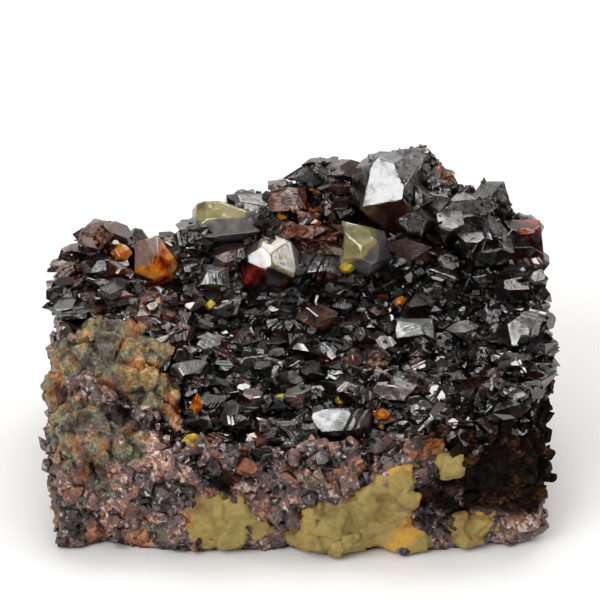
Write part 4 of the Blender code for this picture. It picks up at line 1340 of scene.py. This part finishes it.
form = bmesh.new()
form.from_mesh(nodes["matrix"].data)
bmesh.ops.remove_doubles(form, verts=form.verts[:], dist=0.002 * MM)
for number, (x, y, z, radius) in enumerate(BOULDERS):
    boulder = bmesh.ops.create_icosphere(form, subdivisions=3, radius=radius * MM)["verts"]
    lean = Euler((0.4 * number, 0.7 * number, 1.1 * number)).to_matrix().to_4x4()
    squash = lean @ Matrix.Diagonal((1.12, 0.95, 0.82, 1.0)) @ lean.inverted()
    bmesh.ops.transform(form, matrix=Matrix.Translation(Vector((x, y, z)) * MM) @ squash, verts=boulder)
chance = random.Random(43)
unit = HABITS["blocky"][0][1]
for x, y, z, half_x, half_y, half_z, turn in CORNER_BLOCKS:
    placing = Matrix.Translation(Vector((x, y, z)) * MM) @ Matrix.Rotation(turn, 4, "Z")
    placing = placing @ Matrix.Diagonal((half_x / unit * MM, half_y / unit * MM, half_z / unit * MM, 1.0))
    join(form, cut_crystal("blocky", chance, 0.03), placing)
mesh = voxel_mesh(form, ROCK_VOXEL)
push(mesh, rock_lift)
label(
    mesh, "POINT", warm=[ochre_share(v.co) for v in mesh.vertices],
    dark=[dark_and_shade_share(v.co) for v in mesh.vertices], rust=[seam_rust(v.co) for v in mesh.vertices],
)
mesh.materials.clear()
mesh.materials.append(ROCK)
mesh.shade_smooth()
rock_body = link("rock_body", mesh, "matrix_rock", "matrix")
print("rock body:", len(mesh.vertices), "points,", 2 * len(mesh.polygons), "triangles")

# %% [markdown]
# ## The pale masses
#
# Near the foot the rock holds lumps of pale yellow gangue, the worthless mineral between the ore. Light goes a
# little way into it, so it looks waxy: some subsurface scattering and a middling roughness give that. Its
# colour wanders between straw and olive brown, and it turns orange where the mesh says that rust lies.

# %% Finish: gangue
GANGUE_ROCK, tree, shader = new_material("gangue")
coords = add(tree, "TexCoord").outputs["Object"]
broad = clouded(tree, coords, 210.0, detail=5.0, roughness=0.6, distortion=0.6)
tone = ramp(tree, broad, (
    (0.28, (0.16, 0.08, 0.014)), (0.42, (0.25, 0.18, 0.046)), (0.55, (0.33, 0.26, 0.080)),
    (0.66, (0.33, 0.20, 0.032)), (0.78, (0.42, 0.35, 0.16)),
))
mottle = clouded(tree, coords, 1400.0, detail=5.0, roughness=0.7)
mottle = spread(tree, mottle, low=0.3, high=0.7, start=0.78, end=1.2)
tone = add(tree, "VectorMath", {0: tone, "Scale": mottle}, operation="SCALE").outputs[0]
rust = clouded(tree, coords, 320.0, detail=5.0, roughness=0.7)
rust = spread(tree, rust, low=0.60, high=0.70, end=0.8)
tone = blend(tree, rust, tone, rgb(0.26, 0.09, 0.015))
rusty = attribute(tree, "rust")
rusty = arith(tree, "ADD", rusty, arith(tree, "MULTIPLY", arith(tree, "SUBTRACT", broad, 0.5), 1.4))
rusty = spread(tree, rusty, low=0.45, high=0.80, end=0.75)
orange = ramp(tree, broad, ((0.35, (0.26, 0.06, 0.010)), (0.5, (0.50, 0.21, 0.020)), (0.65, (0.68, 0.38, 0.05))))
tone = blend(tree, rusty, tone, orange)
# The crevice mask browns the hollows: clay, and painted shade.
grime_and_shade = use_group(tree, crevice_dirt_and_shade, {"Vector": coords, "Amount": 0.25, "Reach": 1.3 * MM})["Mask"]
tone = blend(tree, grime_and_shade, tone, rgb(0.10, 0.035, 0.010))
tree.links.new(tone, shader.inputs["Base Color"])
shader.inputs["Roughness"].default_value = 0.48
shader.inputs["IOR"].default_value = 1.6
shader.inputs["Subsurface Weight"].default_value = 0.25
shader.inputs["Subsurface Radius"].default_value = (1.0, 0.7, 0.35)
shader.inputs["Subsurface Scale"].default_value = 0.8 * MM
relief = clouded(tree, coords, 900.0, detail=6.0, roughness=0.65)
bump = add(tree, "Bump", {"Strength": 0.6, "Distance": 0.12 * MM, "Height": relief})
tree.links.new(bump.outputs["Normal"], shader.inputs["Normal"])
print("gangue finish:", len(tree.nodes), "nodes")

# %% [markdown]
# Each mass is drawn as an outline on the rock's front, in millimetres to the right and up. How far a point lies
# inside an outline is its distance to the nearest side, and a little noise makes that border wander.

# %% Outlines of the gangue
GANGUE = (
    ((-0.9, 0.0), (-1.2, 6.6), (2.8, 8.8), (7.3, 9.9), (10.5, 12.7), (14.2, 15.2), (16.4, 16.0), (16.6, 12.0),
     (15.6, 8.9), (16.6, 5.0), (18.4, 3.2), (19.3, 0.0)),
    ((19.1, 16.9), (22.8, 16.8), (22.4, 13.4), (20.4, 12.6), (19.2, 13.2)),
    ((21.9, 6.3), (27.0, 5.6), (27.4, 3.0), (26.6, 0.0), (21.5, 0.0)),
    ((30.5, 4.9), (34.0, 5.0), (34.6, 0.0), (31.0, 0.0)),
    ((-18.2, 5.6), (-15.8, 6.6), (-14.6, 9.3), (-11.5, 9.9), (-8.2, 9.2), (-7.6, 6.5), (-4.4, 5.4), (-3.7, 3.4),
     (-7.6, 2.9), (-8.1, 0.0), (-13.6, 0.0), (-13.8, 3.2)),
)
GANGUE_RUST = (
    (15.0, -28.6, 4.6, 4.2), (13.4, -28.4, 1.6, 3.4), (-16.0, -29.2, 5.8, 2.4), (24.8, -27.0, 1.2, 2.4),
    (31.6, -24.0, 2.6, 2.4),
)


def inside_by(outline, x, z):
    """How far a point on the front lies inside an outline, in millimetres. Outside, it is below 0."""
    within, gap = False, 1e9
    for (ax, az), (bx, bz) in zip(outline, outline[1:] + outline[:1]):
        if (az > z) != (bz > z) and x < ax + (z - az) * (bx - ax) / (bz - az):
            within = not within
        along = ((x - ax) * (bx - ax) + (z - az) * (bz - az)) / ((bx - ax) ** 2 + (bz - az) ** 2)
        along = min(1.0, max(0.0, along))
        gap = min(gap, math.hypot(x - ax - along * (bx - ax), z - az - along * (bz - az)))
    return gap if within else -gap


def gangue_reach(point):
    """Above 0 inside a pale mass on the front, in millimetres."""
    x, z = point.x / MM, max(point.z / MM, 0.1)
    wander = 1.3 * noise.noise(point / (2.1 * MM)) + 0.5 * noise.noise(point / (0.7 * MM))
    return max(inside_by(outline, x, z) for outline in GANGUE) + wander if point.y < -15 * MM else -9.0


print("gangue outlines:", len(GANGUE))

# %% [markdown]
# Gangue breaks into blocks along its cleavage but weathers soft. So small blocks, each a little turned, are set
# into the rock's face in rows, wherever an outline reaches. A voxel remesh fuses them, a few rounds of smoothing
# wear them, and flat chips break the surface again.

# %% Gangue masses
ROCK_SURFACE = tree_of("matrix")
GANGUE_VOXEL = 0.28 * MM
GRID = 0.8
chance = random.Random(41)
form = bmesh.new()
blocks_laid = 0
for row in range(22):
    for column in range(92):
        x = -36.0 + GRID * column + chance.uniform(-0.2, 0.2)
        z = 0.4 + GRID * row + chance.uniform(-0.2, 0.2)
        depth = gangue_reach(Vector((x, -29.0, z)) * MM)
        if depth < 0.1:
            continue
        face = ROCK_SURFACE.ray_cast(Vector((x, -40.0, max(z, 1.0))) * MM, Vector((0, 1, 0)))[0]
        if face is None:
            continue
        size = min(1.5, 0.75 + 0.4 * depth)
        block = cut_crystal("blocky", chance, 0.08)
        turn = Euler((chance.uniform(-0.3, 0.3), chance.uniform(-0.6, 0.1), chance.uniform(-0.3, 0.3)))
        sides = Matrix.Diagonal((size * 1.2 * MM, 1.5 * MM, size * MM, 1.0))
        inward = 0.75 - 0.12 * min(depth, 2.5) + 0.35 * max(0.0, 2.5 - z)
        seat = Vector((x * MM, face.y + inward * MM, max(z, size * 0.8) * MM))
        join(form, block, Matrix.Translation(seat) @ turn.to_matrix().to_4x4() @ sides)
        blocks_laid += 1
mesh = voxel_mesh(form, GANGUE_VOXEL)
form = bmesh.new()
form.from_mesh(mesh)
for _ in range(5):
    bmesh.ops.smooth_vert(
        form, verts=form.verts[:], factor=0.5, use_axis_x=True, use_axis_y=True, use_axis_z=True
    )
form.to_mesh(mesh)
form.free()
push(mesh, lambda p: (noise.fractal(p / (1.8 * MM), 0.8, 2.0, 4) * 0.12 + chip(p, 3.4 * MM, 0.26, 0.62)) * MM)
edge = [0.55 * min(1.0, max(0.0, 0.6 - gangue_reach(vert.co))) for vert in mesh.vertices]
spots = [1.3 * max(near(vert.co, *spot) for spot in GANGUE_RUST) for vert in mesh.vertices]
label(mesh, "POINT", rust=np.maximum(edge, spots).tolist())
mesh.materials.clear()
mesh.materials.append(GANGUE_ROCK)
mesh.shade_smooth()
link("gangue_masses", mesh, "matrix_rock")
print("gangue:", blocks_laid, "blocks,", len(mesh.vertices), "points,", 2 * len(mesh.polygons), "triangles")

# %% [markdown]
# Real grains stand out of the rock, so that its outline is rough and each catches its own light. Most are about
# a millimetre across and a few are three. Hardly any grow on the pale masses and few on the weathered shoulder.

# %% Rock grains
def grain_size(point, normal, chance):
    """Radius of a rock grain here, or None on the base, on the gangue and mostly on the shoulder."""
    if point.z < 0.4 * MM or normal.z < -0.6:
        return None
    if gangue_reach(point) > 0.2 and chance.random() < 0.99:
        return None
    if chance.random() < shoulder_share(point) * 0.94:
        return None
    radius = (0.28 + 1.25 * chance.random() ** 3) * MM
    return min(radius, max(0.3 * MM, point.z * 0.7))


def grain_look(point, radius, chance):
    """Ochre share, darkness and material of a grain."""
    return min(1.0, ochre_share(point) + (0.3 if chance.random() < 0.10 else 0.0)), dark_and_shade_share(point), 0


grain_places = fill(nodes["matrix"], 16000, 31, grain_size, 0.85, reach=1.5 * MM)
GRAIN_LIE = {"sink": (-0.5, 0.1), "stretch": (0.6, 1.5)}
grow("rock_grains", "matrix_rock", grain_places, GRAIN_SHAPES, 32, grain_look, (GRAINS,), **GRAIN_LIE)

# %% [markdown]
# The corner blocks stand outside the solid model, where no grain of the first layer reaches. They get their own,
# scattered over the finished rock body.

# %% Grains on the corners
def corner_grain_size(point, normal, chance):
    """Radius of a grain on the corner blocks, which stand outside the solid model, or None elsewhere."""
    on_corner = point.z < 16 * MM and abs(point.x) > 25 * MM and point.y < -14 * MM
    outside = on_corner and ROCK_SURFACE.find_nearest(point)[3] > 0.8 * MM
    return grain_size(point, normal, chance) if outside else None


corner_places = fill(rock_body, 24000, 35, corner_grain_size, 0.85, reach=1.0 * MM)
grow("corner_grains", "matrix_rock", corner_places, GRAIN_SHAPES, 36, grain_look, (GRAINS,), **GRAIN_LIE)

# %% [markdown]
# Along the rim the crystals break off and the rock comes through. Crystals of the crust are also scattered
# over the top of the rock's front, thinning out downwards, so that neither ends at a line.

# %% Crystals on the rock
def rim_size(point, normal, chance):
    """Radius of a dark crystal on the rock near the crust, or None away from it."""
    away = CRUST.find_nearest(point)[3] / MM
    if away > 4.5 or chance.random() < away / 4.5 or shoulder_share(point) > 0.5 and chance.random() < 0.8:
        return None
    return chance.uniform(0.4, 1.3) * MM


rim_places = fill(nodes["matrix"], 14000, 51, rim_size, 0.60)
grow("rim_crystals", "dark_sphalerite", rim_places, LARGE_SHAPES, 52, crust_look, (DARK, GEM))

# %% [markdown]
# ## Stage, light and camera
#
# A pale floor and a white surround behind, as in a light tent that is open towards the camera. The crystals act
# as small mirrors, so the lights are mostly there to be reflected: a panel at the front left for the bright
# faces, one above and behind for the grey ones, one at the right, and a dark front that leaves the rest black.

# %% Floor
form = bmesh.new()
bmesh.ops.create_grid(form, x_segments=1, y_segments=1, size=3.0)
mesh = finished_mesh(form, "floor")
floor = bpy.data.objects.new("floor", mesh)
bpy.context.scene.collection.objects.link(floor)
material, tree, shader = new_material("floor_white")
shader.inputs["Base Color"].default_value = rgb(0.86, 0.86, 0.86)
shader.inputs["Roughness"].default_value = 0.9
shader.inputs["Specular IOR Level"].default_value = 0.1
mesh.materials.append(material)
print("floor, square metres:", round(mesh.polygons[0].area, 1))

# %% [markdown]
# The surround is the world's own light, and a Light Path node lets it do three things. Matt surfaces get an even
# light, as in the tent. Mirrors see it bright behind, dimmer above and nearly black in front. The camera sees
# plain white.

# %% Surround
world = bpy.data.worlds.new("studio")
bpy.context.scene.world = world
world.use_nodes = True
tree = world.node_tree
parts = add(tree, "SeparateXYZ", {0: add(tree, "TexCoord").outputs["Generated"]})
backward = spread(tree, parts.outputs["Y"], low=0.25, high=0.90, end=1.1)
upward = spread(tree, parts.outputs["Z"], low=0.75, high=1.0, end=0.30)
glow = arith(tree, "ADD", arith(tree, "MAXIMUM", upward, backward), 0.003)
path = add(tree, "LightPath").outputs
lit = mix(tree, path["Is Diffuse Ray"], glow, 0.62)
strength = mix(tree, path["Is Camera Ray"], lit, 1.05)
tree.links.new(strength, tree.nodes["Background"].inputs["Strength"])
tree.nodes["Background"].inputs["Color"].default_value = rgb(1.0, 1.0, 1.0)
print("surround:", len(tree.nodes), "nodes")

# %% [markdown]
# Each panel is given by its direction from the specimen, its distance, its size and how bright it looks. Its
# power follows from that brightness and its area, so a panel can be moved or made larger and still looks as
# bright in a crystal face.

# %% Panels
def panel(name, aim, direction, distance, size, radiance, tint=(1.0, 1.0, 1.0)):
    """A rectangular softbox that looks at aim from a direction."""
    light = bpy.data.lights.new(name, "AREA")
    light.color = tint
    light.shape = "RECTANGLE"
    light.size, light.size_y = size
    light.energy = radiance * math.pi * size[0] * size[1]
    made = bpy.data.objects.new(name, light)
    bpy.context.scene.collection.objects.link(made)
    away = Vector(direction).normalized()
    made.location = aim + away * distance
    made.rotation_euler = away.to_track_quat("Z", "Y").to_euler()
    print(name + ":", round(light.energy, 2), "W")


AIM = Vector((0.0, 0.0, 26.0 * MM))
panel("front_left_panel", AIM, (-0.49, -0.62, 0.62), 0.55, (0.30, 0.30), 4.5)
panel("top_panel", AIM, (0.10, 0.25, 0.95), 0.6, (0.34, 0.22), 4.0, (1.0, 0.93, 0.86))
panel("right_panel", AIM, (0.85, -0.05, 0.52), 0.6, (0.14, 0.20), 4.0)

# %% [markdown]
# The camera looks down at 27 degrees through a long lens, from near enough that the far crest still looks a
# little smaller than the rim. The Standard view transform keeps the colours as they are mixed, and the look adds
# the contrast of a photograph.

# %% Camera
camera = bpy.data.objects.new("camera", bpy.data.cameras.new("camera"))
bpy.context.scene.collection.objects.link(camera)
ELEVATION, DISTANCE = math.radians(27.0), 0.300
camera.data.lens = 120.0
camera.data.sensor_width = 36.0
camera.data.clip_start = 0.01
camera.location = AIM + Vector((0.0, -math.cos(ELEVATION), math.sin(ELEVATION))) * DISTANCE
camera.rotation_euler = (math.radians(90.0) - ELEVATION, 0.0, 0.0)
bpy.context.scene.camera = camera
bpy.context.scene.view_settings.view_transform = "Standard"
bpy.context.scene.view_settings.look = "Medium High Contrast"
print("camera, mm:", [round(part / MM) for part in camera.location])

# %% [markdown]
# The stock of unit crystals is no longer needed.

# %% Clearing the stock
for shape in LARGE_SHAPES + SMALL_SHAPES + GRAIN_SHAPES:
    bpy.data.meshes.remove(shape)
bpy.context.view_layer.update()
